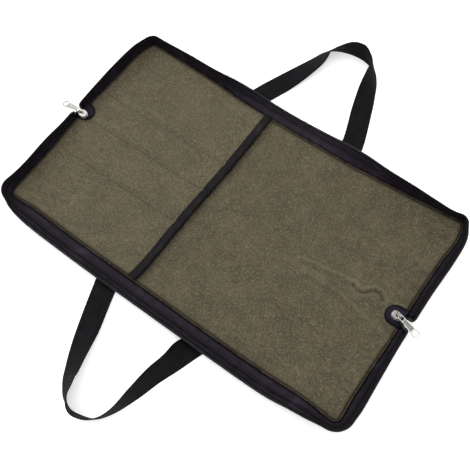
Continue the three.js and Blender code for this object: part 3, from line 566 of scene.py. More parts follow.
def make_object(name, points, faces, paint, uvs=None, smooth=True, crease=None):
    mesh = bpy.data.meshes.new(name)
    mesh.from_pydata([tuple(float(c) * MM for c in p) for p in points], [], faces)
    if uvs:
        layer = mesh.uv_layers.new(name="UVMap")
        layer.data.foreach_set("uv", [float(c) * MM for corner in uvs for c in corner])
    if crease:
        attribute = mesh.attributes.new("crease", "FLOAT", "POINT")
        attribute.data.foreach_set("value", [float(c) for c in crease])
    mesh.polygons.foreach_set("use_smooth", [smooth] * len(mesh.polygons))
    mesh.materials.append(paint)
    mesh.update()
    return add_object(name, mesh)


def finish_piece(obj, slot_name, *replaced, body="case"):
    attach(obj, body)
    if replaced:
        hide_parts(*replaced)


def cloth_sheet(name, columns, rows, place, under, top, paint, crease):
    """A closed cloth of its true thickness over a grid, with its edge rounded."""
    across = len(rows)
    layer = len(columns) * across
    grid = [(x, y) for x in columns for y in rows]
    plan = [place(x, y) for x, y in grid]
    upper = [(*p, top(x, y)) for p, (x, y) in zip(plan, grid)]
    lower = [(*p, under(x, y)) for p, (x, y) in zip(plan, grid)]
    points = upper + lower
    last_i, last_j = len(columns) - 1, across - 1
    faces = []
    for i in range(last_i):
        for j in range(last_j):
            a = i * across + j
            faces.append((a, a + across, a + across + 1, a + 1))
            faces.append((a + layer, a + layer + 1, a + layer + across + 1, a + layer + across))
    border = [(i, 0) for i in range(last_i)] + [(last_i, j) for j in range(last_j)]
    border += [(i, last_j) for i in range(last_i, 0, -1)] + [(0, j) for j in range(last_j, 0, -1)]
    for i, j in border:
        a = i * across + j
        inner = clamp(i, 1, last_i - 1) * across + clamp(j, 1, last_j - 1)
        edge, inside = Vector(upper[a]), Vector(upper[inner])
        out = Vector((edge.x - inside.x, edge.y - inside.y, 0)).normalized()
        thickness = upper[a][2] - lower[a][2]
        points.append(edge + out * thickness * 0.3 - UP * thickness / 2)
    for k, (i, j) in enumerate(border):
        after = (k + 1) % len(border)
        a, b = i * across + j, border[after][0] * across + border[after][1]
        ma, mb = 2 * layer + k, 2 * layer + after
        faces += [(ma, mb, b, a), (a + layer, b + layer, mb, ma)]
    marks = [crease(x, y) for x, y in grid] + [0] * (layer + len(border))
    return make_object(name, points, faces, paint, crease=marks)


def tube_faces(start, rings, sides):
    """Faces of a closed tube whose rings of points begin at start."""
    end = start + (rings - 1) * sides
    faces = []
    for base in range(start, end, sides):
        for k in range(sides):
            a, b = base + k, base + (k + 1) % sides
            faces.append((a, b, b + sides, a + sides))
    faces.append(tuple(start + k for k in range(sides - 1, -1, -1)))
    faces.append(tuple(range(end, end + sides)))
    return faces


def walked_lengths(points):
    """Length from the first point to each."""
    walked = [0.0]
    for a, b in zip(points, points[1:]):
        walked.append(walked[-1] + (b - a).length)
    return walked


def loft(name, rings, paint, lengths=None, smooth=True):
    """A closed solid through rings of the same number of points, with its lengths as texture places."""
    count = len(rings[0])
    lengths = lengths or walked_lengths([ring[0] for ring in rings])
    middle = rings[len(rings) // 2]
    widths = walked_lengths(middle + middle[:1])
    uvs = []
    for u, u2 in zip(lengths, lengths[1:]):
        for v, v2 in zip(widths, widths[1:]):
            uvs += [(u, v), (u, v2), (u2, v2), (u2, v)]
    uvs += [(lengths[0], width) for width in widths[count - 1 :: -1]]
    uvs += [(lengths[-1], width) for width in widths[:count]]
    points = [p for ring in rings for p in ring]
    obj = make_object(name, points, tube_faces(0, len(rings), count), paint, uvs, smooth)
    outward(obj)
    return obj


def outward(obj):
    """Turns the faces so that they point out."""
    form = bmesh.new()
    form.from_mesh(obj.data)
    if form.calc_volume(signed=True) < 0:
        bmesh.ops.reverse_faces(form, faces=form.faces)
        form.to_mesh(obj.data)
    form.free()


def steps_between(low, high, step):
    count = max(2, int(round((high - low) / step)) + 1)
    return [low + (high - low) * k / (count - 1) for k in range(count)]


def graded(low, high, fine):
    """Places from low to high, closer together in the fine stretch."""
    places = steps_between(low, fine[0], CLOTH_STEP) + steps_between(*fine, FINE_STEP)[1:]
    return places + steps_between(fine[1], high, CLOTH_STEP)[1:]


class Thread:
    """Rows of single stitches, gathered into one mesh."""

    RINGS = ((-0.5, 0.35, -0.25), (-0.3, 0.9, 0.1), (0.3, 0.9, 0.1), (0.5, 0.35, -0.25))
    SIDES = 6

    def __init__(self, name, paint, slot_name):
        self.name, self.paint, self.slot_name = name, paint, slot_name
        self.points, self.faces = [], []

    def row(self, points, ups, length=STITCH_LENGTH, gap=STITCH_GAP):
        places, line, across, rise = resample(points, ups, (length + gap) / 4)
        for k in range(2, len(places) - 2, 4):
            forward = line[k + 1] - line[k - 1]
            forward /= np.linalg.norm(forward)
            self.stitch(line[k], forward * length, across[k], rise[k])

    def stitch(self, centre, reach, across, rise):
        base = len(self.points)
        for along, size, height in self.RINGS:
            for k in range(self.SIDES):
                angle = 2 * math.pi * k / self.SIDES
                offset = across * math.cos(angle) + rise * math.sin(angle)
                self.points.append(centre + reach * along + (offset * size + rise * height) * THREAD_RADIUS)
        self.faces += tube_faces(base, len(self.RINGS), self.SIDES)

    def build(self):
        finish_piece(make_object(self.name, self.points, self.faces, self.paint), self.slot_name)


# Materials
class Paint:
    """A node material built up step by step. Sockets go by number or by Blender's names."""

    def __init__(self, name, roughness, metallic, specular):
        self.material = bpy.data.materials.new(name)
        self.material.use_nodes = True
        self.tree = self.material.node_tree
        self.shader = self.tree.nodes["Principled BSDF"]
        self.shader.inputs["Roughness"].default_value = roughness
        self.shader.inputs["Metallic"].default_value = metallic
        self.shader.inputs["Specular IOR Level"].default_value = specular

    def feed(self, socket, value):
        if isinstance(value, bpy.types.NodeSocket):
            self.tree.links.new(value, socket)
        else:
            socket.default_value = value

    def add(self, kind, *values, output=0, settings=None, **named):
        node = self.tree.nodes.new("ShaderNode" + kind)
        for key, value in (settings or {}).items():
            setattr(node, key, value)
        for key, value in [*enumerate(values), *named.items()]:
            self.feed(node.inputs[key], value)
        return node.outputs[output]

    def place(self, kind="Object"):
        return self.add("TexCoord", output=kind)

    # The crease attribute holds painted shade below 0 and rubbed light above 0
    def marks(self):
        return self.add("Attribute", output=2, settings={"attribute_name": "crease"})

    def scaled(self, vector, scale, turn=0):
        return self.add("Mapping", Vector=vector, Scale=scale, Rotation=(0, 0, math.radians(turn)))

    def noise(self, vector, scale, detail, rough):
        return self.add("TexNoise", Vector=vector, Scale=scale, Detail=detail, Roughness=rough)

    def math(self, operation, a, b):
        return self.add("Math", a, b, settings={"operation": operation})

    def range(self, value, low, high, to_low=0.0, to_high=1.0):
        settings = {"interpolation_type": "SMOOTHSTEP"}
        return self.add("MapRange", value, low, high, to_low, to_high, settings=settings)

    def part(self, value, low, high, amount):
        """How far value is from low to high, times an amount."""
        return self.math("MULTIPLY", self.range(value, low, high), amount)

    def wave(self, vector, pitch, axis):
        """Bands a pitch apart along an axis, from 0 to 1."""
        settings = {"wave_type": "BANDS", "bands_direction": axis, "wave_profile": "SIN"}
        scale = math.pi / 10 / (pitch * MM)
        return self.add("TexWave", output=1, settings=settings, Vector=vector, Scale=scale)

    def mix(self, share, a, b):
        node = self.tree.nodes.new("ShaderNodeMix")
        node.data_type = "RGBA"
        self.feed(node.inputs[0], share)
        for socket, colour in ((6, a), (7, b)):
            self.feed(node.inputs[socket], (*colour, 1) if isinstance(colour, tuple) else colour)
        return node.outputs[2]

    def set(self, colour, roughness, height, strength, distance):
        bump = self.add("Bump", Height=height, Strength=strength, Distance=distance * MM)
        for name, value in (("Base Color", colour), ("Roughness", roughness), ("Normal", bump)):
            self.tree.links.new(value, self.shader.inputs[name])
        return self.material


def shade(red, green, blue):
    """Base colour of a matt surface that shows as these screen values, 0 to 255, on the level case."""
    values = []
    for part in (red, green, blue):
        share = part / 255
        linear = share / 12.92 if share <= 0.04045 else ((share + 0.055) / 1.055) ** 2.4
        values.append(linear / LIGHT_LEVEL)
    return tuple(values)


def times(colour, factor):
    return tuple(part * factor for part in colour)


# Noises of the canvas: scale, detail, roughness
CANVAS_NOISES = {
    "broad": (30, 5, 0.62), "warm": (47, 3, 0.5), "clouds": (130, 4, 0.65), "grain": (430, 3, 0.75),
}
# Its layers over the dark colour: mask, where that starts and is full, amount, colour
CANVAS_LAYERS = [
    ("broad", 0.34, 0.66, 1.0, "light"),
    ("warm", 0.52, 0.72, 0.5, "warm"),
    ("clouds", 0.48, 0.76, 0.42, "worn"),
    ("clouds", 0.5, 0.3, 0.35, "dull"),
    ("grain", 0.5, 0.66, 0.8, "worn"),
    ("grain", 0.5, 0.34, 0.75, "deep"),
    ("strokes", 0.58, 0.74, 0.35, "worn"),
    # The crease marks lay on painted shade, and rubbed light where worn
    ("crease", 0.0, -1.0, 1.0, "painted_shade"),
    ("crease", 0.0, 1.0, 0.6, "worn"),
]


def canvas_paint(name, dark, light, worn):
    """Waxed cotton canvas: cloudy, rubbed lighter in streaks, with painted shade in creases, in dents and at
    its edge.
    """
    paint = Paint(name, 0.8, 0.0, 0.12)
    spot = paint.place()
    masks = {key: paint.noise(spot, *noise_sizes) for key, noise_sizes in CANVAS_NOISES.items()}
    masks["strokes"] = paint.noise(paint.scaled(spot, (1, 5, 1), 28), 80, 3, 0.6)
    masks["crease"] = paint.marks()
    colours = {"light": light, "worn": worn, "warm": (light[0] * 1.04, light[1] * 0.93, light[2] * 0.84)}
    # The darkest colour here is painted shade, for the crease marks
    colours |= {"dull": times(dark, 0.8), "deep": times(dark, 0.7), "painted_shade": times(dark, 0.35)}
    colour = dark
    for mask, start, full, amount, over in CANVAS_LAYERS:
        colour = paint.mix(paint.part(masks[mask], start, full, amount), colour, colours[over])
    weave = paint.math("MULTIPLY", paint.wave(spot, 1.1, "X"), paint.wave(spot, 1.0, "Y"))
    colour = paint.mix(paint.math("MULTIPLY", weave, 0.12), colour, worn)
    height = paint.math("ADD", weave, paint.math("MULTIPLY", masks["grain"], 1.8))
    return paint.set(colour, paint.range(masks["broad"], 0.3, 0.75, 0.7, 0.88), height, 0.45, 0.25)


def band_paint(name, dark, light, pitch, turn, painted_light_zone=None, strength=0.45, roughness=0.62, ribbed=0.4):
    """Woven nylon with ribs a pitch apart. Its texture places are lengths, so ribs keep their pitch.

    painted_light_zone gives, in millimetres across, where a painted highlight starts, is full, begins to
    fade and ends, past which the ribs are painted darker as shade.
    """
    paint = Paint(name, roughness, 0.0, 0.06)
    spot = paint.place("UV")
    ribs = paint.wave(paint.scaled(spot, (1, 1, 1), turn), pitch, "X")
    mottle = paint.noise(spot, 90, 4, 0.6)
    streaks = paint.noise(paint.scaled(spot, (0.06, 1, 1)), 700, 3, 0.6)
    share = paint.math("MULTIPLY", ribs, paint.range(mottle, 0.25, 0.8, 0.35, 1.0))
    share = paint.math("MULTIPLY", share, paint.range(streaks, 0.35, 0.7, 0.55, 1.35))
    if painted_light_zone:
        across = paint.add("SeparateXYZ", spot, output=1)
        start, full, fade, stop = (place * MM for place in painted_light_zone)
        # Painted highlight across the zone, painted shade past its end
        share = paint.math("MULTIPLY", share, paint.range(across, start, full))
        share = paint.math("MULTIPLY", share, paint.range(across, stop, fade, 0.3, 1.0))
    worn = paint.part(paint.noise(spot, 31, 3, 0.6), 0.5, 0.8, 0.3)
    colour = paint.mix(worn, paint.mix(share, dark, light), times(light, 1.7))
    height = paint.math("ADD", ribs, paint.math("MULTIPLY", paint.wave(spot, 0.7, "Y"), ribbed))
    rough = paint.range(mottle, 0.3, 0.7, roughness - 0.08, roughness + 0.12)
    return paint.set(colour, rough, height, strength, 0.25)


def tab_paint(name, rim, dark, light):
    """Pressed nylon felt with a rolled rim, painted darker there as shade."""
    paint = Paint(name, 0.65, 0.0, 0.08)
    cloud = paint.noise(paint.place(), 150, 4, 0.6)
    fine = paint.noise(paint.place(), 1100, 3, 0.6)
    colour = paint.mix(paint.range(cloud, 0.3, 0.7), dark, light)
    # Painted shade along the rolled rim
    colour = paint.mix(paint.range(paint.marks(), 0.0, -1.0), colour, rim)
    rough = paint.range(fine, 0.25, 0.75, 0.55, 0.75)
    return paint.set(colour, rough, paint.math("ADD", cloud, fine), 0.35, 0.12)


def plain_paint(name, dark, light, scale, roughness, specular, metallic=0.0, strength=0.2):
    """A material with fine grain in colour, gloss and height."""
    paint = Paint(name, roughness, metallic, specular)
    cloud = paint.noise(paint.place(), scale, 5, 0.6)
    fine = paint.noise(paint.place(), scale * 7, 3, 0.6)
    colour = paint.mix(paint.range(cloud, 0.3, 0.7), dark, light)
    rough = paint.range(fine, 0.25, 0.75, roughness - 0.07, roughness + 0.12)
    return paint.set(colour, rough, paint.math("ADD", cloud, fine), strength, 0.12)


CANVAS = canvas_paint("waxed_canvas", shade(83, 77, 59), shade(98, 91, 72), shade(124, 116, 95))
POCKET_CANVAS = canvas_paint("pocket_canvas", shade(87, 81, 63), shade(102, 95, 76), shade(126, 118, 97))
# BAND: a painted highlight across the bulge of the cloth; before it, at the seam, the cloth stays dark as
# dirt and painted shade
BAND = band_paint("band_nylon", shade(19, 16, 20), shade(68, 61, 76), 0.9, 45, (1.6, 3.2, 7.4, 12.5))
TAPE = band_paint("zip_tape_weave", shade(11, 9, 12), shade(58, 52, 62), 2.2, 52, None, 0.8)
# BINDING: lit from its left edge, fading into a painted shadow along the pocket's mouth
BINDING = band_paint("grosgrain", shade(16, 14, 15), shade(62, 55, 57), 1.7, 62, (-1, 0, 8.4, 11.4), 0.7)
WEBBING = band_paint("webbing_nylon", shade(7, 6, 7), shade(47, 44, 48), RIB_PITCH, 0, None, 0.9, 0.7, 0.7)
PIPING = plain_paint("piping_cloth", shade(56, 49, 42), shade(92, 84, 74), 160, 0.85, 0.06)
# TAB: the first colour is painted shade along the rolled rim
TAB = tab_paint("tab_nylon", shade(9, 8, 11), shade(30, 25, 38), shade(48, 41, 58))
COIL = plain_paint("coil_nylon", shade(17, 16, 19), shade(46, 45, 49), 200, 0.3, 0.4)
CORE = plain_paint("coil_core", shade(9, 8, 10), shade(15, 14, 17), 300, 0.85, 0.03)
THREAD = plain_paint("dark_thread", shade(20, 19, 20), shade(44, 41, 43), 400, 0.7, 0.1)
OLIVE_THREAD = plain_paint("olive_thread", shade(36, 33, 24), shade(58, 53, 40), 400, 0.75, 0.08)
NICKEL = plain_paint("nickel", (0.42, 0.41, 0.395), (0.62, 0.61, 0.585), 260, 0.24, 0.5, 1.0, 0.25)
# A shaded copy of the nickel, painted darker as shade for the slider and pull that show darker
SHADED_NICKEL = plain_paint("shaded_nickel", (0.19, 0.19, 0.182), (0.34, 0.335, 0.32), 300, 0.3, 0.5, 1.0, 0.3)
PULL_FACE = plain_paint("pull_face", (0.13, 0.13, 0.125), (0.28, 0.275, 0.26), 900, 0.4, 0.5, 1.0, 0.8)

# Canvas panel
canvas_columns = graded(-HALF_LENGTH, HALF_LENGTH, FINE_COLUMNS)
canvas_rows = graded(-HALF_WIDTH, HALF_WIDTH, FINE_ROWS)
canvas = cloth_sheet(
    "canvas_cloth", canvas_columns, canvas_rows, plan_point, panel_under, canvas_top, CANVAS, canvas_marks
)
finish_piece(canvas, "waxed_canvas", "canvas_panel")

# Pocket panel
pocket_edge = MOUTH_X - 2 * BINDING_LEAF - CLEARANCE
leaf_end = MOUTH_X - 2 * BINDING_WIDTH
pocket_columns = steps_between(-HALF_LENGTH, pocket_edge, CLOTH_STEP)
pocket_rows = sorted(set(canvas_rows) | {float(s) for s in STITCH_LINES})


def pocket_place(x, y):
    shift = (mouth_at(y) - MOUTH_X) * clamp((x - leaf_end) / (pocket_edge - leaf_end), 0, 1)
    return plan_point(x + shift, y)


pocket = cloth_sheet(
    "pocket_cloth", pocket_columns, pocket_rows, pocket_place, pocket_under, pocket_top,
    POCKET_CANVAS, edge_shade,
)
finish_piece(pocket, "waxed_canvas", "pocket_panel")

# Binding folded over the pocket's mouth: inwards from the mouth, level in leaves, extra height
BINDING_SHAPE = [
    (-STRIP_WIDTH, 1.0, 0.0), (-STRIP_WIDTH - 0.3, 1.5, 0.0), (-STRIP_WIDTH + 0.2, 2.0, 0.05),
    (-STRIP_WIDTH + 2.4, 2.0, 0.1), (-6.6, 2.0, 0.2), (-4.2, 2.0, 0.3), (-1.8, 2.0, 0.3), (-0.6, 2.0, 0.1),
    (0.0, 1.0, 0.0), (0.1, -0.2, 0.0), (-0.4, -1.6, 0.0), (-1.6, -2.0, 0.0), (-STRIP_WIDTH, -2.0, 0.0),
    (-STRIP_WIDTH, -1.0, 0.0), (-2.2, -1.0, 0.0), (-2.2, 1.0, 0.0),
]


def binding_point(y, inset, level, extra):
    x = mouth_at(y) + inset
    base = pocket_under(min(x, MOUTH_X - 2 * BINDING_LEAF), y)
    leaf = (abs(level) - 1) * BINDING_LEAF + CLEARANCE
    px, py = plan_point(x, y)
    wobble = 0.12 * ripple(x / 9, y / 12, 3) if level > 1 else 0
    z = base + POCKET_THICKNESS + leaf + extra + wobble if level > 0 else base - leaf
    return Vector((px, py, z))


binding_rings = [[binding_point(y, *row) for row in BINDING_SHAPE] for y in pocket_rows]
binding = loft("binding_strip", binding_rings, BINDING)
finish_piece(binding, "black_nylon", "pocket_binding")

# Stitches in the pocket and its binding
THREAD_LIFT = 0.12
LINE_STEP = 3
pocket_thread = Thread("pocket_stitches", OLIVE_THREAD, "waxed_canvas")
for stitch_y in STITCH_LINES:
    line = []
    for x in steps_between(-HALF_LENGTH + 6, mouth_at(stitch_y) - STRIP_WIDTH - 1, LINE_STEP):
        line.append(Vector((*pocket_place(x, stitch_y), pocket_top(x, stitch_y) + THREAD_LIFT)))
    pocket_thread.row(line, [UP] * len(line))
pocket_thread.build()
binding_thread = Thread("binding_stitches", THREAD, "black_nylon")
stitch_rows = steps_between(3 - HALF_WIDTH, HALF_WIDTH - 3, LINE_STEP)
for inset, lift in ((1.7 - STRIP_WIDTH, 0.15), (-2.2, 0.37)):
    line = [binding_point(y, inset, 2, lift) for y in stitch_rows]
    binding_thread.row(line, [UP] * len(line))
binding_thread.build()

# Cross section of the band's cloth: part of its width and rise above its middle face
BAND_TOP = [
    (0.0, -0.2), (0.015, 0.3), (0.05, 0.55), (0.1, 0.62), (0.18, 0.5), (0.28, 0.52), (0.4, 0.6),
    (0.52, 0.66), (0.64, 0.66), (0.74, 0.6), (0.8, 0.62), (0.84, 0.95), (0.9, 1.05), (0.96, 0.95),
    (1.0, 0.55),
]
BAND_UNDER = [(1.0, -0.3), (0.93, -0.6), (0.7, -0.6), (0.4, -0.6), (0.1, -0.6)]
PUCKERS = {"height": 0.3, "length": 5.5}


def band_rings(turns):
    rings = []
    for turn in turns:
        seam = Seam(turn)
        edge = seam.cloth_edge * FABRIC_SHARE
        ring = []
        for part, rise in BAND_TOP:
            fold = ripple(turn * PANEL_WIDTH / PUCKERS["length"], part * 2.2, 5) * math.sin(math.pi * part)
            ring.append(seam.on_band(edge * part, rise + PUCKERS["height"] * fold))
        rings.append(ring + [seam.on_band(edge * part, rise) for part, rise in BAND_UNDER])
    return rings


# Cross section of the zip tape: millimetres from its start and rise; it goes on under cloth and coil
TAPE_SHAPE = [
    (-3.5, -0.75), (-1.0, -0.7), (0.3, 0.1), (0.9, 0.45), (2.0, 0.55), (3.2, 0.5), (4.4, 0.42), (4.9, 0.2),
    (6.2, -0.5), (6.0, -1.1), (4.4, -0.6), (2.0, -0.55), (0.3, -0.6), (-1.0, -1.3), (-3.5, -1.3),
]


def tape_rings(turns):
    rings = []
    for turn in turns:
        seam = Seam(turn)
        start = seam.cloth_edge * FABRIC_SHARE + CLEARANCE
        scale = (seam.cloth_edge - start) / TAPE_WIDTH
        rings.append([seam.on_band(start + w * scale, rise) for w, rise in TAPE_SHAPE])
    return rings


# The piping: middle out and up from the seam, half its width and height
PIPING_PLACE = (CLEARANCE + PIPING_WIDTH / 2, 0.075 * PIPING_HEIGHT)
PIPING_HALVES = (0.42 * PIPING_WIDTH, 0.525 * PIPING_HEIGHT)
# The seam allowance under it: inner edge and outer edge past the band's foot, bottom and top
ALLOWANCE = (-2.5, 1.9, -2.3, -1.35)


def piping_rings(turns):
    out, up = PIPING_PLACE
    half_width, half_height = PIPING_HALVES
    rings = []
    for turn in turns:
        seam = Seam(turn)
        swell = 1 + 0.05 * ripple(turn * 40, 0, 8)
        ring = []
        for k in range(CORD_SIDES):
            angle = 2 * math.pi * k / CORD_SIDES
            wide, high = half_width * swell * math.cos(angle), half_height * swell * math.sin(angle)
            ring.append(seam.place(out + wide, up + high))
        rings.append(ring)
    return rings


def allowance_rings(turns):
    inner, outer, low, high = ALLOWANCE
    rings = []
    for turn in turns:
        seam = Seam(turn)
        end = seam.start + outer
        corners = ((inner, low), (end, low), (end, high), (inner, high))
        rings.append([seam.place(*corner) for corner in corners])
    return rings


def helix_rings(path, wire):
    """A flattened wire spiral round the coil's path, as the rings of one tube."""
    half_width, half_height = COIL_WIDTH / 2 - wire, COIL_HEIGHT / 2 - wire
    places, line, across, rise = resample(*zip(*path), COIL_PITCH / HELIX_STEPS)
    angle = places / COIL_PITCH * 2 * math.pi
    lean = np.sin(angle)[:, None]
    centres = line + across * (np.cos(angle) * half_width)[:, None] + rise * lean * half_height
    forward = np.gradient(centres, axis=0)
    forward /= np.linalg.norm(forward, axis=1)[:, None]
    outward_way = across * (np.cos(angle) / half_width)[:, None] + rise * lean / half_height
    side = np.cross(forward, outward_way)
    side /= np.linalg.norm(side, axis=1)[:, None]
    level = np.cross(side, forward)
    around = [2 * math.pi * s / WIRE_SIDES for s in range(WIRE_SIDES)]
    rings = []
    for centre, a, b in zip(centres, side, level):
        rings.append([Vector(centre + wire * (a * math.cos(turn) + b * math.sin(turn))) for turn in around])
    return rings


# Cross section of the cloth core inside the coil: across and up from the path
CORE_SHAPE = [
    (-2.6, -0.3), (-2.6, 0.3), (-1.3, 0.75), (0.84, 0.75), (1.4, 0.225), (1.4, -0.225), (0.84, -0.75),
    (-1.3, -0.75),
]


def core_rings(path):
    _, line, across, rise = resample(*zip(*path), STRIP_STEP)
    return [[Vector(p + a * w + r * h) for w, h in CORE_SHAPE] for p, a, r in zip(line, across, rise)]


# The webs: places where they are bent, half their thickness, their sag, and their foot up and off the band
WEB_BENDS = (0.0, 0.25, 0.5, 0.75, 1.0)
WEB_HALF = 0.35
WEB_SAG = 0.8
WEB_FOOT = (-0.4, -1.5)


def web_rings(end, fold, towards):
    """The tape's free corner: cloth from the seam up to the coil where it turns in to the slider."""
    pose = SliderPose(end)
    rows = [WEB_START, *ZIP_TURN, WEB_STOP]
    table = Table(("place", "away", "along", "mouth"), [(i, *row) for i, row in enumerate(rows)])
    rings = []
    for place in steps_between(0, len(rows) - 1, 0.25):
        away, along, mouth = (table.at(name, place) for name in ("away", "along", "mouth"))
        seam, top = turned_in(pose, fold, towards, away, along, clamp(mouth, 0, 1), -0.6)
        foot = seam.on_band(*WEB_FOOT)
        face = Vector((-seam.out_y, seam.out_x, 0)).cross(top - foot).normalized() * WEB_HALF
        middle = [foot.lerp(top, share) - UP * WEB_SAG * math.sin(math.pi * share) for share in WEB_BENDS]
        rings.append([p + face for p in middle] + [p - face for p in reversed(middle)])
    return rings


left, right = ZIP_ENDS["left"], ZIP_ENDS["right"]
HALVES = {
    "near": ((left, left["fold"] - 4, 1), (right, right["fold"], -1)),
    "far": ((right, right["fold"], 1), (left, left["fold"], -1)),
}
band_thread = Thread("band_stitches", THREAD, "black_nylon")
for name, folds in HALVES.items():
    start, stop = folds[0][1], folds[1][1]
    room = FABRIC_RUN / PANEL_WIDTH
    turns = even_turns(start + room, stop - room, STRIP_STEP)
    finish_piece(loft(f"{name}_band", band_rings(turns), BAND), "black_nylon", f"{name}_gusset")
    row = [Seam(turn) for turn in turns[1:-1]]
    line = [seam.on_band(seam.cloth_edge * FABRIC_SHARE * 0.9, 1.08) for seam in row]
    band_thread.row(line, [seam.normal() for seam in row])

    room = TAPE_RUN / PANEL_WIDTH
    turns = even_turns(start + room, stop - room, STRIP_STEP)
    finish_piece(loft(f"{name}_tape", tape_rings(turns), TAPE), "black_nylon", f"{name}_zip_tape")

    path = coil_path(folds)
    finish_piece(loft(f"{name}_coil", helix_rings(path, COIL_WIRE), COIL), "coil_nylon", f"{name}_zip_coil")
    finish_piece(loft(f"{name}_coil_core", core_rings(path), CORE), "coil_nylon")

    tab_rooms = []
    for end, fold, towards in folds:
        side = "left" if end["sign"] < 0 else "right"
        finish_piece(loft(f"{name}_{side}_web", web_rings(end, fold, towards), TAPE), "black_nylon")
        tab_side = towards * end["sign"]
        tab_rooms.append((TAB_WIDTH / 2 + CLEARANCE + tab_side * end["tab_shift"]) / PANEL_WIDTH)
    turns = even_turns(start + tab_rooms[0], stop - tab_rooms[1], STRIP_STEP)
    finish_piece(loft(f"{name}_cord", piping_rings(turns), PIPING), "piping_cloth", f"{name}_piping")
    rings = allowance_rings(even_turns(start, stop, STRIP_STEP))
    finish_piece(loft(f"{name}_seam_allowance", rings, CORE, smooth=False), "black_nylon")
band_thread.build()


# Tabs under the sliders, with a rolled edge
TAB_ROLL = {"height": 1.2, "place": 1.2, "hollow": 0.45, "hollow_place": 3.2, "width": 0.9}
# Painted shade along the rolled rim: how dark, how wide
TAB_RIM_SHADE = {"dark": 1.1, "width": 2.2}
TAB_STITCH = (2.2, 0.8)


def build_tab(name, end):
    sign, depth, half = end["sign"], end["tab_depth"], TAB_WIDTH / 2
    middle = SliderPose(end).fold_y + end["tab_shift"]
    nose = half * min(1, depth * 0.8 / half)
    straight = depth - nose

    def half_at(inset):
        along = max(0, inset - straight) / nose
        return half * math.sqrt(max(0, 1 - along * along))

    def place(inset, share):
        px, py = plan_point(sign * (HALF_LENGTH - max(0, inset)), middle + share * half_at(inset))
        return px - sign * min(0, inset), py

    def under(inset, share):
        return tab_floor(sign, inset, middle + share * half_at(inset))

    def top(inset, share):
        end_gap = depth - inset - (half - half_at(inset)) * 0.3
        gap = min(half_at(inset) * (1 - abs(share)), max(0, end_gap))
        roll = TAB_ROLL["height"] * bell(gap, TAB_ROLL["place"], TAB_ROLL["width"])
        roll -= TAB_ROLL["hollow"] * bell(gap, TAB_ROLL["hollow_place"], TAB_ROLL["width"])
        return under(inset, share) + TAB_THICKNESS + roll + 0.15 * ripple(inset / 4, share * 3, 2)

    # Painted shade at the tab's edge
    def rim(inset, share):
        gap = min(half_at(inset) * (1 - abs(share)), max(0, depth - inset))
        return -TAB_RIM_SHADE["dark"] * bell(gap, 0, TAB_RIM_SHADE["width"])

    insets = steps_between(-PIPING_WIDTH, straight, 1.2)
    insets += [straight + nose * math.sin(math.radians(a)) for a in range(8, 85, 8)]
    shares = [math.sin(math.radians(a)) for a in range(-90, 91, 9)]
    tab = cloth_sheet(f"{name}_tab_cloth", insets, shares, place, under, top, TAB, rim)
    outward(tab)
    finish_piece(tab, "black_nylon", f"{name}_tab")

    inner = half - TAB_STITCH_MARGIN
    sides = [(inset, inner / half) for inset in steps_between(1.5, straight, 2)]
    round_end = []
    for angle in range(80, -81, -10):
        inset = straight + (nose - TAB_STITCH_MARGIN) * math.cos(math.radians(angle))
        round_end.append((inset, inner * math.sin(math.radians(angle)) / half_at(inset)))
    ways = sides + round_end + [(inset, -share) for inset, share in reversed(sides)]
    line = [Vector((*place(*way), top(*way) + THREAD_LIFT)) for way in ways]
    tab_thread.row(line, [UP] * len(line), *TAB_STITCH)


tab_thread = Thread("tab_stitches", THREAD, "black_nylon")
for name, end in ZIP_ENDS.items():
    build_tab(name, end)
tab_thread.build()


# Sliders and pulls: the solids with their edges eased
def eased(node, name, width, body, paints):
    obj = add_object(name, nodes[node].data.copy())
    form = bmesh.new()
    form.from_mesh(obj.data)
    bmesh.ops.remove_doubles(form, verts=form.verts, dist=0.00001)
    bmesh.ops.dissolve_limit(form, angle_limit=math.radians(2), verts=form.verts, edges=form.edges)
    form.to_mesh(obj.data)
    form.free()
    obj.data.materials.clear()
    for paint in paints:
        obj.data.materials.append(paint)
    if len(paints) > 1:
        mark_recess(obj.data)
    bevel = obj.modifiers.new("eased", "BEVEL")
    bevel.width = width * MM
    bevel.segments = 3
    bevel.limit_method = "ANGLE"
    bevel.angle_limit = math.radians(32)
    bevel.harden_normals = True
    obj.data.polygons.foreach_set("use_smooth", [True] * len(obj.data.polygons))
    finish_piece(obj, "nickel", node, body=body)


def mark_recess(mesh):
    """Gives the sunk face of a pull its own material."""
    large = max(mesh.polygons, key=lambda p: p.area if p.normal.z > 0.7 else 0)
    for polygon in mesh.polygons:
        facing = polygon.normal.dot(large.normal) > 0.99
        lower = (polygon.center - large.center).dot(large.normal) < -0.2 * MM
        if facing and (polygon == large or lower):
            polygon.material_index = 1


# The right slider body and the left pull take the shaded copy of the nickel
for name, body_paint, pull_paint in (("left", NICKEL, SHADED_NICKEL), ("right", SHADED_NICKEL, NICKEL)):
    eased(f"{name}_slider", f"{name}_slider_body", 0.32, "case", [body_paint])
    eased(f"{name}_pull", f"{name}_pull_plate", 0.22, f"{name}_pull", [pull_paint, PULL_FACE])


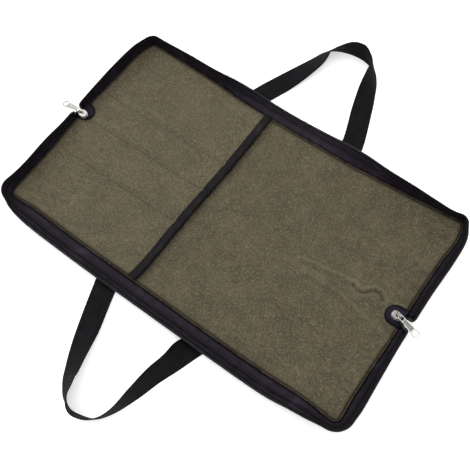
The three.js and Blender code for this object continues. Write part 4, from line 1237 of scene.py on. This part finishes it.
# Webbing loops
def catmull(points, at):
    """Point on the centripetal curve through points, at a share from 0 to 1 of its spans."""
    last = len(points) - 1
    place = last * at
    i = min(int(place), last - 1)
    weight = place - i
    p1, p2 = points[i], points[i + 1]
    p0 = points[i - 1] if i > 0 else points[0] * 2 - points[1]
    p3 = points[i + 2] if i + 2 <= last else points[last] * 2 - points[last - 1]
    d0, d1, d2 = ((b - a).length_squared ** 0.25 for a, b in ((p0, p1), (p1, p2), (p2, p3)))
    t1 = ((p1 - p0) / d0 - (p2 - p0) / (d0 + d1) + (p2 - p1) / d1) * d1
    t2 = ((p2 - p1) / d1 - (p3 - p1) / (d1 + d2) + (p3 - p2) / d2) * d1
    c2 = -3 * p1 + 3 * p2 - 2 * t1 - t2
    c3 = 2 * p1 - 2 * p2 + t1 + t2
    return p1 + t1 * weight + c2 * weight**2 + c3 * weight**3


def handle_frame(side, at, tilt_table, points):
    foot = catmull(points, at)
    along = (catmull(points, min(1, at + 0.0005)) - catmull(points, max(0, at - 0.0005))).normalized()
    tilt = math.radians(max(0, tilt_table.at("tilt", at)))
    inward = Vector((along.y * side, -along.x * side, 0))
    foot.z = WEBBING_THICKNESS / 2 * abs(math.cos(tilt)) + 0.1
    return foot, inward * math.cos(tilt) + UP * math.sin(tilt), UP * math.cos(tilt) - inward * math.sin(tilt)


# Half the webbing's cross section: share of its width and of its thickness
WEBBING_SHAPE = [
    (0.0, 0.15), (0.012, 0.7), (0.03, 0.92), (0.06, 0.8), (0.085, 0.96), (0.2, 1.0), (0.35, 1.0), (0.5, 1.0),
    (0.65, 1.0), (0.8, 1.0), (0.915, 0.96), (0.94, 0.8), (0.97, 0.92), (0.988, 0.7), (1.0, 0.15),
]
HANDLE_SAMPLES = 900
for name, handle in HANDLES.items():
    side = handle["side"]
    seam_y = Seam(0.5 if side < 0 else 2.5).y
    points, tilts = [], []
    for k, (across, out, tilt) in enumerate(handle["rows"]):
        points.append(Vector((across * HANDLE_SPREAD, seam_y + side * out * handle["reach"], 0)))
        tilts.append((k / (len(handle["rows"]) - 1), tilt))
    tilt_table = Table(("at", "tilt"), tilts)
    fine = [k / HANDLE_SAMPLES for k in range(HANDLE_SAMPLES + 1)]
    walked = walked_lengths([catmull(points, at) for at in fine])
    places = np.linspace(0, walked[-1], int(walked[-1] / (RIB_PITCH / 4)))
    rings = []
    for place, at in zip(places, np.interp(places, walked, fine)):
        foot, rise, face = handle_frame(side, at, tilt_table, points)
        half = WEBBING_THICKNESS / 2 * (0.9 + 0.1 * math.cos(2 * math.pi * place / RIB_PITCH))
        ring = [foot + rise * WEBBING_WIDTH * w + face * h * half for w, h in WEBBING_SHAPE]
        ring += [foot + rise * WEBBING_WIDTH * w - face * h * half for w, h in reversed(WEBBING_SHAPE)]
        rings.append(ring)
    finish_piece(loft(f"{name}_webbing", rings, WEBBING, list(places)), "black_nylon", f"{name}_handle")

# Floor, light and camera
FLOOR_HALF = 4000
FLOOR_LEVEL = -0.15
FLOOR_GLOW = 0.4
FLOOR = Paint("pale_floor", 0.9, 0.0, 0.0)
FLOOR.shader.inputs["Base Color"].default_value = (0.93, 0.93, 0.93, 1)
FLOOR.shader.inputs["Emission Color"].default_value = (1, 1, 1, 1)
FLOOR.shader.inputs["Emission Strength"].default_value = FLOOR_GLOW
corners = [(x * FLOOR_HALF, y * FLOOR_HALF, FLOOR_LEVEL) for x, y in ((-1, -1), (1, -1), (1, 1), (-1, 1))]
make_object("floor", corners, [(0, 1, 2, 3)], FLOOR.material)

# A dome of light, brightest overhead
DOME_HORIZON = 0.5
DOME_TOP = 1.35
scene = bpy.context.scene
scene.world = bpy.data.worlds.new("studio")
scene.world.use_nodes = True
dome = scene.world.node_tree
background = dome.nodes["Background"]
way = dome.nodes.new("ShaderNodeTexCoord").outputs["Generated"]
parts = dome.nodes.new("ShaderNodeSeparateXYZ")
dome.links.new(way, parts.inputs[0])
level = dome.nodes.new("ShaderNodeMapRange")
level.inputs["To Min"].default_value = DOME_HORIZON
level.inputs["To Max"].default_value = DOME_TOP
dome.links.new(parts.outputs["Z"], level.inputs["Value"])
background.inputs["Color"].default_value = (1, 1, 1, 1)
dome.links.new(level.outputs["Result"], background.inputs["Strength"])

# Area lights aimed at the middle: place in metres, side, power in watts
LIGHTS = {"key_light": ((-1.5, 0.3, 1.4), 0.7, 17), "top_light": ((0.2, 0.3, 2.2), 2.0, 6)}
for name, (place, size, power) in LIGHTS.items():
    data = bpy.data.lights.new(name, "AREA")
    data.shape = "SQUARE"
    data.size = size
    data.energy = power
    light = add_object(name, data)
    light.location = place
    light.rotation_euler = (-Vector(place)).to_track_quat("-Z", "Y").to_euler()

camera_data = bpy.data.cameras.new("camera")
camera_data.sensor_width = SENSOR_WIDTH
camera_data.lens = FOCAL_PIXELS / FRAME_PIXELS * SENSOR_WIDTH
camera_data.clip_start = 0.01
camera = add_object("camera", camera_data)
turned = Matrix((CAMERA_RIGHT, CAMERA_UP, [-c for c in CAMERA_FORWARD])).transposed()
camera.matrix_world = Matrix.Translation(CAMERA_PLACE) @ turned.to_4x4()
scene.camera = camera
scene.view_settings.view_transform = "Standard"

bpy.context.view_layer.update()
